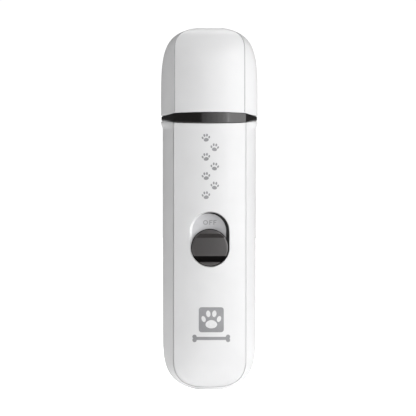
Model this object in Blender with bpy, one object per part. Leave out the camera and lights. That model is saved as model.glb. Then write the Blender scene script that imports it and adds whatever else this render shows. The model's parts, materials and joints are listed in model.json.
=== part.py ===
"""Cordless pet nail grinder: a slim white handle, a dark collar band, a pull-off cap over the
grinding head, and a round slide switch in a stadium-shaped recess.

The long axis is +Z and the front (switch side) faces -Y. The origin is the middle of the flat
patch at the bottom end. Every size below is in millimetres; MM turns them into Blender's metres.
"""

import math

import bmesh
import bpy
from mathutils import Matrix, Vector

MM = 0.001
GAP = 0.3
THIN_GAP = 0.15

# ---- Outer shape of handle and cap ----
TOTAL_HEIGHT = 150.0
HALF_WIDTH = 19.35
FRONT_DEPTH = 15.0
BACK_DEPTH = 16.26
CREASE_HALF_WIDTH = 14.93
CAP_CREASE_HALF_WIDTH = 14.47
PANEL_BULGE = 2.3
WIDEST_Y = -1.0
REAR_EXPONENT = 2.5
CAP_OUTSET = 0.74
WALL = 1.8

# ---- Collar band: its edges are arches in side view, closest together at mid-depth ----
BAND_Z = 112.6
BAND_HALF_AT_SIDE = 1.1
BAND_HALF_AT_FRONT = 2.41
FLARE_START = 3.4
FLARE_END = 0.6
FLARE_DEPTH_SHARE = 0.15

# ---- Switch ----
SWITCH_TRAVEL = 6.85
RECESS_RADIUS = 8.02
RECESS_LOW_Z = 59.0
RECESS_FLOOR_Y = -13.1
PLATE_RIM_Y = -13.9
KNOB_RADIUS = 7.78
KNOB_LIP_Y = -14.7
KNOB_FACE_Y = -(BACK_DEPTH + FLARE_DEPTH_SHARE * CAP_OUTSET)

# ---- Neck, guard and cap inside ----
NECK_INSET = 2.1
NECK_WALL = 1.6
NECK_LOW_Z, NECK_TOP_Z = 99.0, 118.0
DECK_THICKNESS = 2.0
CAP_BORE_INSET = 1.7
CAP_ROOF = 2.6
GUARD_INSET = 3.4
GUARD_WALL = 1.5
GUARD_LOW_Z, GUARD_TOP_Z = 118.4, 144.0
GUARD_DOME_START = 131.5
GUARD_DOME_HEIGHT = 13.8
PORTS = {"large": (7.8, 4.0), "small": (-7.6, 3.2)}

# ---- Drive train, all on the Z axis ----
MOTOR_RADIUS, MOTOR_FLAT = 10.2, 7.7
MOTOR_LOW_Z, MOTOR_TOP_Z = 73.5, 101.5
SHEET = 0.8
END_BELL_HEIGHT = 3.7
BRACKET_LOW_Z, BRACKET_TOP_Z = 102.3, 104.3
MOTOR_SCREW_X = 6.5
BEARING_LOW_Z, BEARING_TOP_Z = 112.6, 116.5
BEARING_RADIUS = 5.3
BEARING_BORE = 2.3
BOSS_RADIUS = 7.2
DRUM_LOW_Z, DRUM_TOP_Z = 127.6, 139.0
DRUM_RADIUS = 5.2

# ---- Electronics and power ----
BOARD_Y, BOARD_THICKNESS = -6.0, 1.2
BOARD_HALF_WIDTH = 9.5
BOARD_LOW_Z, BOARD_TOP_Z = 4.6, 68.8
BOARD_SCREW_X, BOARD_SCREW_Z = 7.0, 44.0
CELL_Y, CELL_RADIUS = 5.2, 7.1
CELL_LOW_Z, CELL_TOP_Z = 11.0, 60.5
SOCKET_Y = -3.15
SCREW_X = 11.6
SCREW_HEIGHTS = (16.0, 66.0)

FINE, MEDIUM, COARSE = 40, 24, 14

# Colour, roughness and metallic value of each material.
MATERIALS = {
    "white_shell": ((0.86, 0.86, 0.87), 0.18, 0.0),
    "dark_gloss": ((0.035, 0.033, 0.034), 0.16, 0.3),
    "silver_plate": ((0.52, 0.52, 0.54), 0.38, 0.2),
    "neck_plastic": ((0.10, 0.10, 0.105), 0.42, 0.0),
    "guard_plastic": ((0.80, 0.82, 0.84), 0.25, 0.0),
    "rubber": ((0.03, 0.03, 0.03), 0.8, 0.0),
    "steel": ((0.60, 0.60, 0.62), 0.28, 1.0),
    "brass": ((0.78, 0.60, 0.28), 0.3, 1.0),
    "abrasive": ((0.34, 0.25, 0.19), 0.95, 0.0),
    "magnet": ((0.06, 0.06, 0.065), 0.6, 0.0),
    "copper": ((0.62, 0.27, 0.14), 0.35, 1.0),
    "board": ((0.02, 0.20, 0.09), 0.4, 0.0),
    "inner_plastic": ((0.25, 0.25, 0.26), 0.5, 0.0),
    "cell_wrap": ((0.05, 0.22, 0.55), 0.35, 0.0),
    "red_lead": ((0.60, 0.03, 0.03), 0.5, 0.0),
    "black_lead": ((0.02, 0.02, 0.02), 0.5, 0.0),
}


def clear_scene():
    for obj in list(bpy.data.objects):
        bpy.data.objects.remove(obj)


def make_materials():
    made = {}
    for name, (colour, roughness, metallic) in MATERIALS.items():
        material = bpy.data.materials.new(name)
        material.use_nodes = True
        shader = material.node_tree.nodes["Principled BSDF"]
        shader.inputs["Base Color"].default_value = (*colour, 1.0)
        shader.inputs["Roughness"].default_value = roughness
        shader.inputs["Metallic"].default_value = metallic
        made[name] = material
    return made


# ------------------------------------------------------------------ building blocks


def add(name, bm, finish=None, parent=None, at=(0, 0, 0), turn=(0, 0, 0)):
    """An object from a bmesh drawn in millimetres. Without a finish it is a cutter or a filler."""
    bmesh.ops.remove_doubles(bm, verts=bm.verts, dist=1e-4)
    bmesh.ops.recalc_face_normals(bm, faces=bm.faces)
    bmesh.ops.scale(bm, vec=(MM, MM, MM), verts=bm.verts)
    mesh = bpy.data.meshes.new(name)
    bm.to_mesh(mesh)
    bm.free()
    obj = bpy.data.objects.new(name, mesh)
    bpy.context.scene.collection.objects.link(obj)
    obj.location = Vector(at) * MM
    obj.rotation_euler = turn
    if finish is None:
        obj.hide_render = True
        obj.display_type = "WIRE"
    else:
        mesh.materials.append(SURFACES[finish])
        mesh.shade_smooth()
        mesh.set_sharp_from_angle(angle=math.radians(35))
        obj.parent = parent
    return obj


def combine(target, operation, *others):
    for other in others:
        step = target.modifiers.new(f"{operation.lower()}_{other.name}", "BOOLEAN")
        step.operation = operation
        step.object = other
        step.solver = "EXACT"
    return target


def cut(target, *others):
    return combine(target, "DIFFERENCE", *others)


def join(target, *others):
    return combine(target, "UNION", *others)


def prism(outline, low, high):
    """A bmesh of a closed outline in XY, extruded from z low to z high."""
    bm = bmesh.new()
    face = bm.faces.new([bm.verts.new((x, y, low)) for x, y in outline])
    grown = bmesh.ops.extrude_face_region(bm, geom=[face])["geom"]
    raised = [v for v in grown if isinstance(v, bmesh.types.BMVert)]
    bmesh.ops.translate(bm, vec=(0, 0, high - low), verts=raised)
    return bm


def turned(profile, steps):
    """A bmesh of a closed (radius, z) profile spun once round Z."""
    bm = bmesh.new()
    corners = [bm.verts.new((radius, 0, z)) for radius, z in profile]
    edges = [bm.edges.new(pair) for pair in zip(corners, corners[1:] + corners[:1])]
    bmesh.ops.spin(
        bm, geom=corners + edges, axis=(0, 0, 1), cent=(0, 0, 0), angle=math.tau, steps=steps
    )
    bmesh.ops.remove_doubles(bm, verts=bm.verts, dist=1e-4)
    bmesh.ops.dissolve_degenerate(bm, edges=bm.edges, dist=1e-4)
    return bm


def rod(radius, low, high, steps=MEDIUM):
    return prism(circle(radius, steps), low, high)


def tube(outer, inner, low, high, steps=MEDIUM):
    return turned([(outer, low), (outer, high), (inner, high), (inner, low)], steps)


def block(x, y, z):
    """A bmesh box from three (low, high) pairs."""
    bm = bmesh.new()
    middle = Vector((sum(x) / 2, sum(y) / 2, sum(z) / 2))
    size = Vector((x[1] - x[0], y[1] - y[0], z[1] - z[0]))
    place = Matrix.Translation(middle) @ Matrix.Diagonal((*size, 1))
    bmesh.ops.create_cube(bm, size=1, matrix=place)
    return bm


def circle(radius, steps, centre=(0, 0)):
    angles = [math.tau * k / steps for k in range(steps)]
    return [(centre[0] + radius * math.cos(a), centre[1] + radius * math.sin(a)) for a in angles]


def arc(radius, start, end, steps):
    angles = [math.radians(start + (end - start) * k / steps) for k in range(steps + 1)]
    return [(radius * math.cos(a), radius * math.sin(a)) for a in angles]


def flatted_circle(radius, flat, steps=8):
    """A round motor's outline with its front and back sliced flat."""
    edge = math.degrees(math.asin(flat / radius))
    return arc(radius, -edge, edge, steps) + arc(radius, 180 - edge, 180 + edge, steps)


def stadium(radius, straight, steps=12):
    """Two half rounds a straight length apart, the lower one round the origin."""
    upper = [(x, y + straight) for x, y in arc(radius, 0, 180, steps)]
    return upper + arc(radius, 180, 360, steps)


TO_FRONT = (math.pi / 2, 0, 0)  # turns local +Z to face -Y, and local +Y to face +Z


# ------------------------------------------------------------------ handle and cap surface


def superellipse(share, along, across):
    """How wide a rounded end still is at this share of its length."""
    return max(0.0, 1 - max(0.0, share) ** along) ** (1 / across)


def handle_half_width(z):
    return HALF_WIDTH * superellipse((30.4 - z) / 30.95, 5.0, 2.08)


def handle_crease(z):
    return CREASE_HALF_WIDTH * superellipse((12.7 - z) / 12.0, 2.3, 3.0)


def handle_depth(z):
    return superellipse((15.5 - z) / 17.0, 2.4, 2.2)


def cap_half_width(z):
    return HALF_WIDTH * superellipse((z - 113.75) / 36.3, 4.9, 3.08)


def cap_crease(z, at_band):
    closing_in = at_band * superellipse((z - 140.0) / 10.35, 3.0, 2.6)
    return min(closing_in, 0.93 * cap_half_width(z))


def cap_depth(z):
    return superellipse((z - 129.0) / 22.0, 2.6, 2.3)


def mix(a, b, share):
    return a + (b - a) * share


def bezier(p0, p1, p2, p3, t):
    u = 1 - t
    weights = (u**3, 3 * u * u * t, 3 * u * t * t, t**3)
    return tuple(sum(w * p[k] for w, p in zip(weights, (p0, p1, p2, p3))) for k in (0, 1))


def panel_y(x, front):
    return front + PANEL_BULGE * (x / CREASE_HALF_WIDTH) ** 2


FRONT_STEPS, FACET_STEPS, BACK_STEPS = 6, 5, 9


def half_section(half_width, crease, front, back):
    """The right half of a cross-section, from the front middle round to the back middle.

    A shallow front arc ends at the crease, a side facet runs from there to the widest point,
    and a rounded back closes it. Where the crease fades, the facet turns into a plain ellipse.
    """
    points = []
    for k in range(FRONT_STEPS + 1):
        x = crease * k / FRONT_STEPS
        points.append((x, panel_y(x, front)))
    start, end = points[-1], (half_width, WIDEST_Y)
    run, rise = end[0] - start[0], end[1] - start[1]
    flatness = crease / CREASE_HALF_WIDTH
    lead = (
        start[0] + run * mix(0.55, 0.37, flatness),
        start[1] + rise * mix(0.0, 0.295, flatness),
    )
    tail = (half_width, end[1] - rise * mix(0.55, 0.16, flatness))
    for k in range(1, FACET_STEPS + 1):
        points.append(bezier(start, lead, tail, end, k / FACET_STEPS))
    for k in range(1, BACK_STEPS):
        angle = math.pi / 2 * k / BACK_STEPS
        x = half_width * math.cos(angle) ** (2 / REAR_EXPONENT)
        y = WIDEST_Y + (back - WIDEST_Y) * math.sin(angle) ** (2 / REAR_EXPONENT)
        points.append((x, y))
    points.append((0.0, back))
    return points


def handle_section(z):
    depth = handle_depth(z)
    return half_section(
        handle_half_width(z), handle_crease(z), -FRONT_DEPTH * depth, BACK_DEPTH * depth
    )


def cap_section(z, crease_at_band=CAP_CREASE_HALF_WIDTH):
    depth = cap_depth(z)
    crease = cap_crease(z, crease_at_band)
    return half_section(cap_half_width(z), crease, -FRONT_DEPTH * depth, BACK_DEPTH * depth)


def grown(points, outset):
    """The section made larger all round by about outset, or smaller if that is negative."""
    wide = 1 + outset / HALF_WIDTH
    front, back = 1 + outset / FRONT_DEPTH, 1 + outset / BACK_DEPTH
    return [(x * wide, y * (front if y < 0 else back)) for x, y in points]


def flared_depth(y, outset):
    """A depth moved out by the small share of the flare that the front and back take."""
    depth = FRONT_DEPTH if y < 0 else BACK_DEPTH
    return y * (1 + FLARE_DEPTH_SHARE * outset / depth)


def flared(points, outset):
    """The section made wider by outset at the sides and hardly deeper. Its crease stays in place."""
    crease, widest = points[FRONT_STEPS][0], max(x for x, _ in points)
    result = []
    for x, y in points:
        share = max(0.0, (x - crease) / (widest - crease)) if y < WIDEST_Y else 1.0
        result.append((x * (1 + share * outset / HALF_WIDTH), flared_depth(y, outset)))
    return result


def ring(half, height):
    """A whole loop of 3-D points from a half section. height is a z, or a function of y."""
    whole = half + [(-x, y) for x, y in reversed(half[1:-1])]
    level = height if callable(height) else lambda y: height
    return [(x, y, level(y)) for x, y in whole]


def loft(rings):
    """A closed bmesh through mirror-symmetric rings, each end closed by strips along X."""
    bm = bmesh.new()
    loops = [[bm.verts.new(point) for point in loop] for loop in rings]
    count = len(loops[0])
    for low, high in zip(loops, loops[1:]):
        for k in range(count):
            n = (k + 1) % count
            bm.faces.new((low[k], low[n], high[n], high[k]))
    for loop in (loops[0], loops[-1]):
        last = count // 2
        bm.faces.new((loop[0], loop[1], loop[-1]))
        for k in range(1, last - 1):
            bm.faces.new((loop[k], loop[k + 1], loop[count - k - 1], loop[count - k]))
        bm.faces.new((loop[last - 1], loop[last], loop[last + 1]))
    return bm


def band_half(y):
    """Half the collar band's height at this depth."""
    return mix(BAND_HALF_AT_SIDE, BAND_HALF_AT_FRONT, (y / FRONT_DEPTH) ** 2)


def below_band(distance):
    return lambda y: BAND_Z - band_half(y) - distance


def above_band(distance):
    return lambda y: BAND_Z + band_half(y) + distance


def flare(distance):
    """How far the rim next to the band stands out, at this distance from the band."""
    share = min(1.0, max(0.0, (FLARE_START - distance) / (FLARE_START - FLARE_END)))
    rise = share * share * (3 - 2 * share)
    rounding = 0.4 * max(0.0, 1 - distance / 0.5) ** 2
    return CAP_OUTSET * rise - rounding


END_ANGLES = [math.pi / 2 * k / 9 for k in range(10)]
HANDLE_LEVELS = [16 * (1 - math.cos(a)) for a in END_ANGLES] + [22, 30.4, 62, 96]
RIM_DISTANCES = [8.0, FLARE_START, 2.7, 2.0, 1.3, FLARE_END, 0.3, 0.0]
CAP_LEVELS = [118, 125, 131, 136, 140, 143, 145, 146.5, 147.6, 148.5, 149.2, 149.7, 150]


def handle_solid():
    top = handle_section(96)
    rings = [ring(handle_section(z), z) for z in HANDLE_LEVELS]
    rings += [ring(flared(top, flare(d)), below_band(d)) for d in RIM_DISTANCES]
    return loft(rings)


def cavity_solid():
    floor = 2.0
    rings = [ring(grown(handle_section(z), -WALL), z + floor) for z in HANDLE_LEVELS]
    rings.append(ring(grown(handle_section(96), -WALL), 125))
    return loft(rings)


def panel_slab(outset, front, behind):
    """The front panel's own solid, or the pocket for it: a slab behind the curved front face.

    outset widens its outline, front is a fixed y or None for the real face, and behind is how
    far the back face lies behind the panel's unflared face.
    """
    tip = [0.7] + [z for z in HANDLE_LEVELS if z > 0.8]
    top = handle_section(96)[: FRONT_STEPS + 1]
    rows = [(handle_section(z)[: FRONT_STEPS + 1], z, 0.0) for z in tip]
    rows += [(top, below_band(d), flare(d)) for d in RIM_DISTANCES]
    if front is not None:
        rows.append((top, 125, 0.0))
    bm = bmesh.new()
    faces_of_rows = []
    for half, height, swell in rows:
        crease = half[-1][0]
        widen = 1 + outset / crease if crease > 1 else 1
        faced, backed = [], []
        for side in range(-FRONT_STEPS, FRONT_STEPS + 1):
            x, y = half[abs(side)]
            x = math.copysign(x * widen, side)
            face_y = flared_depth(y, swell) if front is None else front
            z = height(face_y if front is None else y) if callable(height) else height
            faced.append(bm.verts.new((x, face_y, z)))
            backed.append(bm.verts.new((x, y + behind, z)))
        faces_of_rows.append(faced + backed[::-1])
    for low, high in zip(faces_of_rows, faces_of_rows[1:]):
        count = len(low)
        for k in range(count):
            n = (k + 1) % count
            bm.faces.new((low[k], low[n], high[n], high[k]))
    last = faces_of_rows[-1]
    columns = 2 * FRONT_STEPS
    for k in range(columns):
        bm.faces.new((last[k], last[k + 1], last[2 * columns - k], last[2 * columns + 1 - k]))
    bm.faces.new(faces_of_rows[0])
    return bm


def screw_post(x, z, radius, low_y, high_y):
    """A post along Y, from low_y to high_y, for joining to a shell or cutting from it."""
    name = f"post_{x:.0f}_{z:.0f}_{radius:.1f}_{high_y:.0f}"
    return add(name, rod(radius, low_y, high_y, COARSE), at=(x, 0, z), turn=(-math.pi / 2, 0, 0))


# ------------------------------------------------------------------ shells


def rear_housing():
    shell = add("rear_housing", handle_solid(), "white_shell", BODIES["housing"])
    cut(shell, add("cavity", cavity_solid()))
    limit = add("post_limit", loft([ring(grown(handle_section(z), -WALL / 2), z) for z in (4, 16, 80)]))
    places = [(side * SCREW_X, z) for side in (-1, 1) for z in SCREW_HEIGHTS]
    for x, z in places:
        socket = combine(screw_post(x, z, 3.3, 6.0, 16.0), "INTERSECT", limit)
        join(shell, socket, screw_post(x, z, 2.2, -3.9, 7.0))
    for x, z in places:
        cut(shell, screw_post(x, z, 2.4, 7.3, 20.0), screw_post(x, z, 1.3, -5.0, 8.0))
    pocket = add("panel_pocket", panel_slab(0.12, -25.0, WALL + THIN_GAP))
    window = add("panel_window", block((-13.7, 13.7), (-26, -6), (8, 130)))
    port = add("port_cutter", block((-4.3, 4.3), (SOCKET_Y - 1.9, SOCKET_Y + 1.9), (-1, 6)))
    return cut(shell, pocket, window, port)


def front_cover():
    shell = add("front_cover", panel_slab(-0.12, None, WALL), "white_shell", BODIES["housing"])
    for side in (-1, 1):
        join(shell, screw_post(side * BOARD_SCREW_X, BOARD_SCREW_Z, 2.0, -13.6, BOARD_Y - GAP))
        for z in SCREW_HEIGHTS:
            join(shell, screw_post(side * SCREW_X, z, 1.8, -13.2, -4.2))
    for side in (-1, 1):
        cut(shell, screw_post(side * BOARD_SCREW_X, BOARD_SCREW_Z, 1.1, -10.5, -5.0))
        for z in SCREW_HEIGHTS:
            cut(shell, screw_post(side * SCREW_X, z, 1.3, -9.5, -3.0))
    hole = prism(stadium(RECESS_RADIUS, SWITCH_TRAVEL), 9, 20)
    return cut(shell, add("recess_cutter", hole, at=(0, 0, RECESS_LOW_Z), turn=TO_FRONT))


def collar_band():
    half = handle_section(96)
    outer = [
        ring(flared(half, 0.4), below_band(-THIN_GAP)),
        ring(flared(half, 0.56), below_band(-0.4)),
        ring(flared(half, 0.56), above_band(-0.4)),
        ring(flared(half, 0.4), above_band(-THIN_GAP)),
    ]
    band = add("collar_band", loft(outer), "dark_gloss", BODIES["housing"])
    inner = [ring(grown(half, THIN_GAP - CAP_BORE_INSET - 0.1), z) for z in (100, 125)]
    return cut(band, add("band_bore", loft(inner)))


def cap():
    shape = [ring(flared(cap_section(113), flare(d)), above_band(d)) for d in (0.0, 0.2, 0.5, 1.2)]
    shape += [ring(flared(cap_section(z), CAP_OUTSET), z) for z in CAP_LEVELS]
    shell = add("cap", loft(shape), "white_shell", BODIES["cap"])
    bore = [ring(grown(cap_section(113, CREASE_HALF_WIDTH), -CAP_BORE_INSET), z) for z in (105, 115)]
    for z in CAP_LEVELS:
        bore.append(ring(grown(cap_section(z, CREASE_HALF_WIDTH), -CAP_BORE_INSET), z - CAP_ROOF))
    return cut(shell, add("cap_bore", loft(bore)))


def neck_frame():
    half = handle_section(96)
    walls = loft([ring(grown(half, -NECK_INSET), z) for z in (NECK_LOW_Z, NECK_TOP_Z)])
    frame = add("neck_frame", walls, "neck_plastic", BODIES["housing"])
    deck_low = NECK_TOP_Z - DECK_THICKNESS
    hollow = loft([ring(grown(half, -NECK_INSET - NECK_WALL), z) for z in (90, deck_low)])
    cut(frame, add("neck_hollow", hollow))
    join(frame, add("bearing_boss", rod(BOSS_RADIUS, BEARING_LOW_Z - 1, NECK_TOP_Z - 0.5)))
    for side in (-1, 1):
        post = rod(2.2, BRACKET_TOP_Z + GAP, NECK_TOP_Z - 0.5, COARSE)
        join(frame, add(f"bracket_post_{side}", post, at=(side * 12.4, 0, 0)))
    lip = loft([ring(grown(half, -GUARD_INSET - GUARD_WALL - GAP), z) for z in (117, 121)])
    lip_hollow = loft([ring(grown(half, -GUARD_INSET - 2 * GUARD_WALL - GAP), z) for z in (118, 122)])
    join(frame, add("guard_lip", lip))
    cut(frame, add("guard_lip_hollow", lip_hollow))
    cut(frame, add("bearing_seat", rod(BEARING_RADIUS + GAP, 105, BEARING_TOP_Z + GAP)))
    cut(frame, add("spindle_hole", rod(4.2, 105, 125)))
    groove = loft([ring(grown(half, -NECK_INSET + 1), z) for z in (115.2, 116.8)])
    keep = loft([ring(grown(half, -NECK_INSET - 0.7), z) for z in (114, 118)])
    groove_ring = cut(add("groove_ring", groove), add("groove_floor", keep))
    return cut(frame, groove_ring)


def neck_seal():
    half = handle_section(96)
    outer = loft(
        [ring(grown(half, -1.86 - b), 116 + z) for b, z in ((0.2, -0.55), (0, -0.3), (0, 0.3), (0.2, 0.55))]
    )
    seal = add("neck_seal_ring", outer, "rubber", BODIES["housing"])
    inner = loft([ring(grown(half, -NECK_INSET - 0.55), z) for z in (114, 118)])
    return cut(seal, add("seal_bore", inner))


def guard_share(z):
    return superellipse((z - GUARD_DOME_START) / GUARD_DOME_HEIGHT, 3.5, 2.5)


def guard_loops(inset, top, low, drop):
    half = grown(handle_section(96), -inset)
    levels = [low, GUARD_DOME_START, 135, 138, 140.2, 141.8, 143, top + drop]
    loops = []
    for z in levels:
        share = guard_share(z)
        loops.append(ring([(x * share, y * share) for x, y in half], z - (drop if z > low else 0)))
    return loops


def nail_guard():
    outer = guard_loops(GUARD_INSET, GUARD_TOP_Z, GUARD_LOW_Z, 0.0)
    guard = add("nail_guard", loft(outer), "guard_plastic", BODIES["guard"])
    inner = guard_loops(GUARD_INSET + GUARD_WALL, GUARD_TOP_Z - GUARD_WALL, 110, GUARD_WALL)
    cut(guard, add("guard_hollow", loft(inner)))
    for size, (x, radius) in PORTS.items():
        cut(guard, add(f"{size}_port", rod(radius, 136, 150), at=(x, 0, 0)))
    return guard


# ------------------------------------------------------------------ switch


def switch_plate():
    """The tray that forms the recess's sloped wall and floor, with a slot for the knob's stem."""
    back_y = -11.5
    body = prism(stadium(RECESS_RADIUS - THIN_GAP, SWITCH_TRAVEL), -back_y, -PLATE_RIM_Y)
    at = (0, 0, RECESS_LOW_Z)
    plate = add("switch_plate", body, "silver_plate", BODIES["housing"], at, TO_FRONT)
    flange = prism(stadium(9.4, SWITCH_TRAVEL), -back_y, 12.2)
    join(plate, add("plate_flange", flange, at=at, turn=TO_FRONT))
    bm = bmesh.new()
    loops = []
    for radius, depth in ((7.1, -RECESS_FLOOR_Y), (7.5, -PLATE_RIM_Y), (8.3, 1.6 - PLATE_RIM_Y)):
        outline = stadium(radius, SWITCH_TRAVEL)
        loops.append([bm.verts.new((x, y, depth)) for x, y in outline])
    for low, high in zip(loops, loops[1:]):
        for k in range(len(low)):
            n = (k + 1) % len(low)
            bm.faces.new((low[k], low[n], high[n], high[k]))
    bm.faces.new(loops[0])
    bm.faces.new(loops[-1])
    dish = add("dish_cutter", bm, at=at, turn=TO_FRONT)
    slot = add("stem_slot", block((-1.9, 1.9), (-14, -10), (57.9, 66.1)))
    return cut(plate, dish, slot)


def switch_knob():
    """A round knob with a raised thumb bar across it, flared over the recess wall."""
    profile = [
        (0, 13.35),
        (6.75, 13.35),
        (7.1, 14.05),
        (KNOB_RADIUS, 14.2),
        (KNOB_RADIUS, -KNOB_FACE_Y - 0.3),
        (KNOB_RADIUS - 0.3, -KNOB_FACE_Y),
        (0, -KNOB_FACE_Y),
    ]
    at = (0, 0, RECESS_LOW_Z)
    knob = add("switch_knob", turned(profile, FINE), "dark_gloss", BODIES["switch"], at, TO_FRONT)
    upper = [(4.3, 18), (5.5, -KNOB_LIP_Y), (9, -KNOB_LIP_Y), (9, 18)]
    lower = [(-3.5, 18), (-9, 18), (-9, -KNOB_LIP_Y), (-6.0, -KNOB_LIP_Y)]
    for name, outline in (("upper_step", upper), ("lower_step", lower)):
        # Drawn in (height, depth), then stood up so that the extrusion runs along X.
        step = prism([(-y, z) for z, y in outline], -10, 10)
        cut(knob, add(name, step, at=at, turn=(math.pi / 2, 0, math.pi / 2)))
    return join(knob, add("knob_stem", block((-1.6, 1.6), (-13.8, -10.0), (58.1, 59.1))))


def switch_carrier():
    carrier = add(
        "switch_carrier", block((-5, 5), (-11.2, -10.4), (55, 62.6)), "inner_plastic", BODIES["switch"]
    )
    for name, low in (("fork_low", 55.4), ("fork_high", 60.3)):
        join(carrier, add(name, block((-1.5, 1.5), (-10.8, -9.7), (low, low + 1.3))))
    return cut(carrier, add("stem_socket", block((-1.9, 1.9), (-12, -9), (57.8, 59.4))))


def slide_switch():
    body = block((-3.6, 3.6), (-9.4, BOARD_Y - GAP), (53, 68.4))
    housing = add("slide_switch_body", body, "inner_plastic", BODIES["housing"])
    cut(housing, add("lever_slot", block((-1.3, 1.3), (-10, -7.6), (54.4, 67.2))))
    lever = block((-1.0, 1.0), (-10.1, -7.9), (57.0, 60.0))
    cut_in = block((-1.3, 1.3), (-10.4, -9.9), (57.8, 59.4))
    lever = add("slide_switch_lever", lever, "steel", BODIES["switch"])
    return cut(lever, add("lever_notch", cut_in))


# ------------------------------------------------------------------ motor and spindle


def motor():
    low, top = MOTOR_LOW_Z, MOTOR_TOP_Z
    can = add(
        "motor_can", prism(flatted_circle(MOTOR_RADIUS, MOTOR_FLAT), low, top), "steel", BODIES["housing"]
    )
    inside = prism(flatted_circle(MOTOR_RADIUS - SHEET, MOTOR_FLAT - SHEET), low - 2, top - SHEET)
    cut(can, add("can_hollow", inside))
    join(can, add("can_boss", rod(3.05, top - 0.5, top + 1.5, COARSE)))
    cut(can, add("can_bore", rod(1.3, top - 3, top + 3, COARSE)))
    for side in (-1, 1):
        hole = rod(1.2, top - 3, top + 3, 10)
        cut(can, add(f"can_screw_hole_{side}", hole, at=(side * MOTOR_SCREW_X, 0, 0)))
    bell = prism(flatted_circle(MOTOR_RADIUS, MOTOR_FLAT), low - GAP - END_BELL_HEIGHT, low - GAP)
    bell = add("motor_end_bell", bell, "inner_plastic", BODIES["housing"])
    cut(bell, add("bell_bore", rod(1.3, low - 9, low + 2, COARSE)))
    bell_low = low - GAP - END_BELL_HEIGHT
    for side, name in ((-1, "left"), (1, "right")):
        tab = block((-1.0, 1.0), (0.75, 1.25), (bell_low - 3.2, bell_low - GAP))
        add(f"motor_terminal_{name}", tab, "brass", BODIES["housing"], (side * 5.5, 0, 0))
        magnet = arc(9.1, -34, 34, 6) + arc(6.9, 34, -34, 6)
        turn = (0, 0, 0 if side > 0 else math.pi)
        add(f"motor_magnet_{name}", prism(magnet, 80, 99), "magnet", BODIES["housing"], turn=turn)


def armature_outline():
    """Three pole faces with a winding slot between each pair."""
    points = []
    for pole in range(3):
        for angle, radius in ((-48, 6.3), (-24, 6.3), (0, 6.3), (24, 6.3), (48, 6.3), (54, 3.0), (66, 3.0)):
            turn = math.radians(120 * pole + angle)
            points.append((radius * math.cos(turn), radius * math.sin(turn)))
    return points


def rotor():
    spindle = BODIES["spindle"]
    add("motor_shaft", rod(1.0, 70.2, 108.2, COARSE), "steel", spindle)
    armature = add("motor_armature", prism(armature_outline(), 82, 97), "copper", spindle)
    cut(armature, add("armature_bore", rod(1.3, 80, 99, COARSE)))
    add("motor_commutator", tube(2.5, 1.3, 76.5, 80.5, COARSE), "copper", spindle)


def motor_bracket():
    half = handle_section(96)
    plate = loft([ring(grown(half, -4.15), z) for z in (BRACKET_LOW_Z, BRACKET_TOP_Z)])
    plate = add("motor_bracket", plate, "neck_plastic", BODIES["housing"])
    cut(plate, add("bracket_hole", rod(3.4, 100, 107)))
    for side, name in ((-1, "left"), (1, "right")):
        at = (side * MOTOR_SCREW_X, 0, 0)
        cut(plate, add(f"bracket_screw_hole_{name}", rod(1.2, 100, 107, COARSE), at=at))
        head = BRACKET_TOP_Z + THIN_GAP
        shape = [(0, 100.9), (0.85, 100.9), (0.85, head), (1.8, head), (1.8, head + 1.1), (0, head + 1.1)]
        add(f"motor_screw_{name}", turned(shape, COARSE), "steel", BODIES["housing"], at)


def bearing():
    low, top = BEARING_LOW_Z, BEARING_TOP_Z
    add("bearing_outer_race", tube(BEARING_RADIUS, 4.4, low, top), "steel", BODIES["housing"])
    add("bearing_inner_race", tube(3.2, BEARING_BORE, low, top), "steel", BODIES["spindle"])
    add("bearing_shield", tube(4.15, 3.45, top - 1.2, top - 0.7), "rubber", BODIES["housing"])


def shaft_coupling():
    shape = [(1.3, 105.2), (3.0, 105.2), (3.0, 112.2), (2.3, 112.2), (2.3, 109.0), (0, 109.0)]
    shape += [(0, 108.5), (1.3, 108.5)]
    add("shaft_coupling", turned(shape, MEDIUM), "brass", BODIES["spindle"])


def spindle_and_collet():
    spindle = BODIES["spindle"]
    shape = [(0, 109.3), (2.0, 109.3), (2.0, 117.2), (3.6, 117.2), (3.6, 123.0), (2.6, 123.0)]
    shape += [(2.6, 118.5), (0, 118.5)]
    add("spindle", turned(shape, MEDIUM), "steel", spindle)
    add("collet", tube(2.3, 1.75, 118.8, 123.6), "brass", spindle)
    nut = [(3.9, 119.0), (4.9, 119.0), (5.2, 119.4), (5.2, 120.2), (5.2, 123.6), (4.4, 125.4)]
    nut += [(1.8, 125.4), (1.8, 123.9), (3.9, 123.9)]
    nut = turned(nut, 48)
    for vertex in nut.verts:
        x, y, z = vertex.co
        if math.hypot(x, y) > 5.1 and z > 120:
            flute = 1 - 0.1 * max(0.0, math.cos(8 * math.atan2(y, x)))
            vertex.co = (x * flute, y * flute, z)
    add("collet_nut", nut, "steel", spindle)


def grinding_drum():
    spindle = BODIES["spindle"]
    low, top = DRUM_LOW_Z, DRUM_TOP_Z
    shape = [(0, 118.9), (1.45, 118.9), (1.45, low - 1.2), (3.8, low - 1.2), (3.8, low - GAP)]
    shape += [(1.45, low - GAP), (1.45, top - 2.2), (0, top - 2.2)]
    add("drum_mandrel", turned(shape, MEDIUM), "steel", spindle)
    add("drum_core", tube(4.2, 1.75, low, top), "rubber", spindle)
    add("abrasive_sleeve", tube(DRUM_RADIUS, 4.5, low, top, FINE), "abrasive", spindle)
    head = top + GAP
    shape = [(0, top - 1.9), (1.2, top - 1.9), (1.2, head), (3.2, head), (3.2, head + 1.0)]
    shape += [(2.8, head + 1.4), (0, head + 1.4)]
    screw = add("drum_screw", turned(shape, MEDIUM), "brass", spindle)
    cut(screw, add("driver_slot", block((-4, 4), (-0.4, 0.4), (head + 0.7, head + 3))))


# ------------------------------------------------------------------ power and electronics


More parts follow.
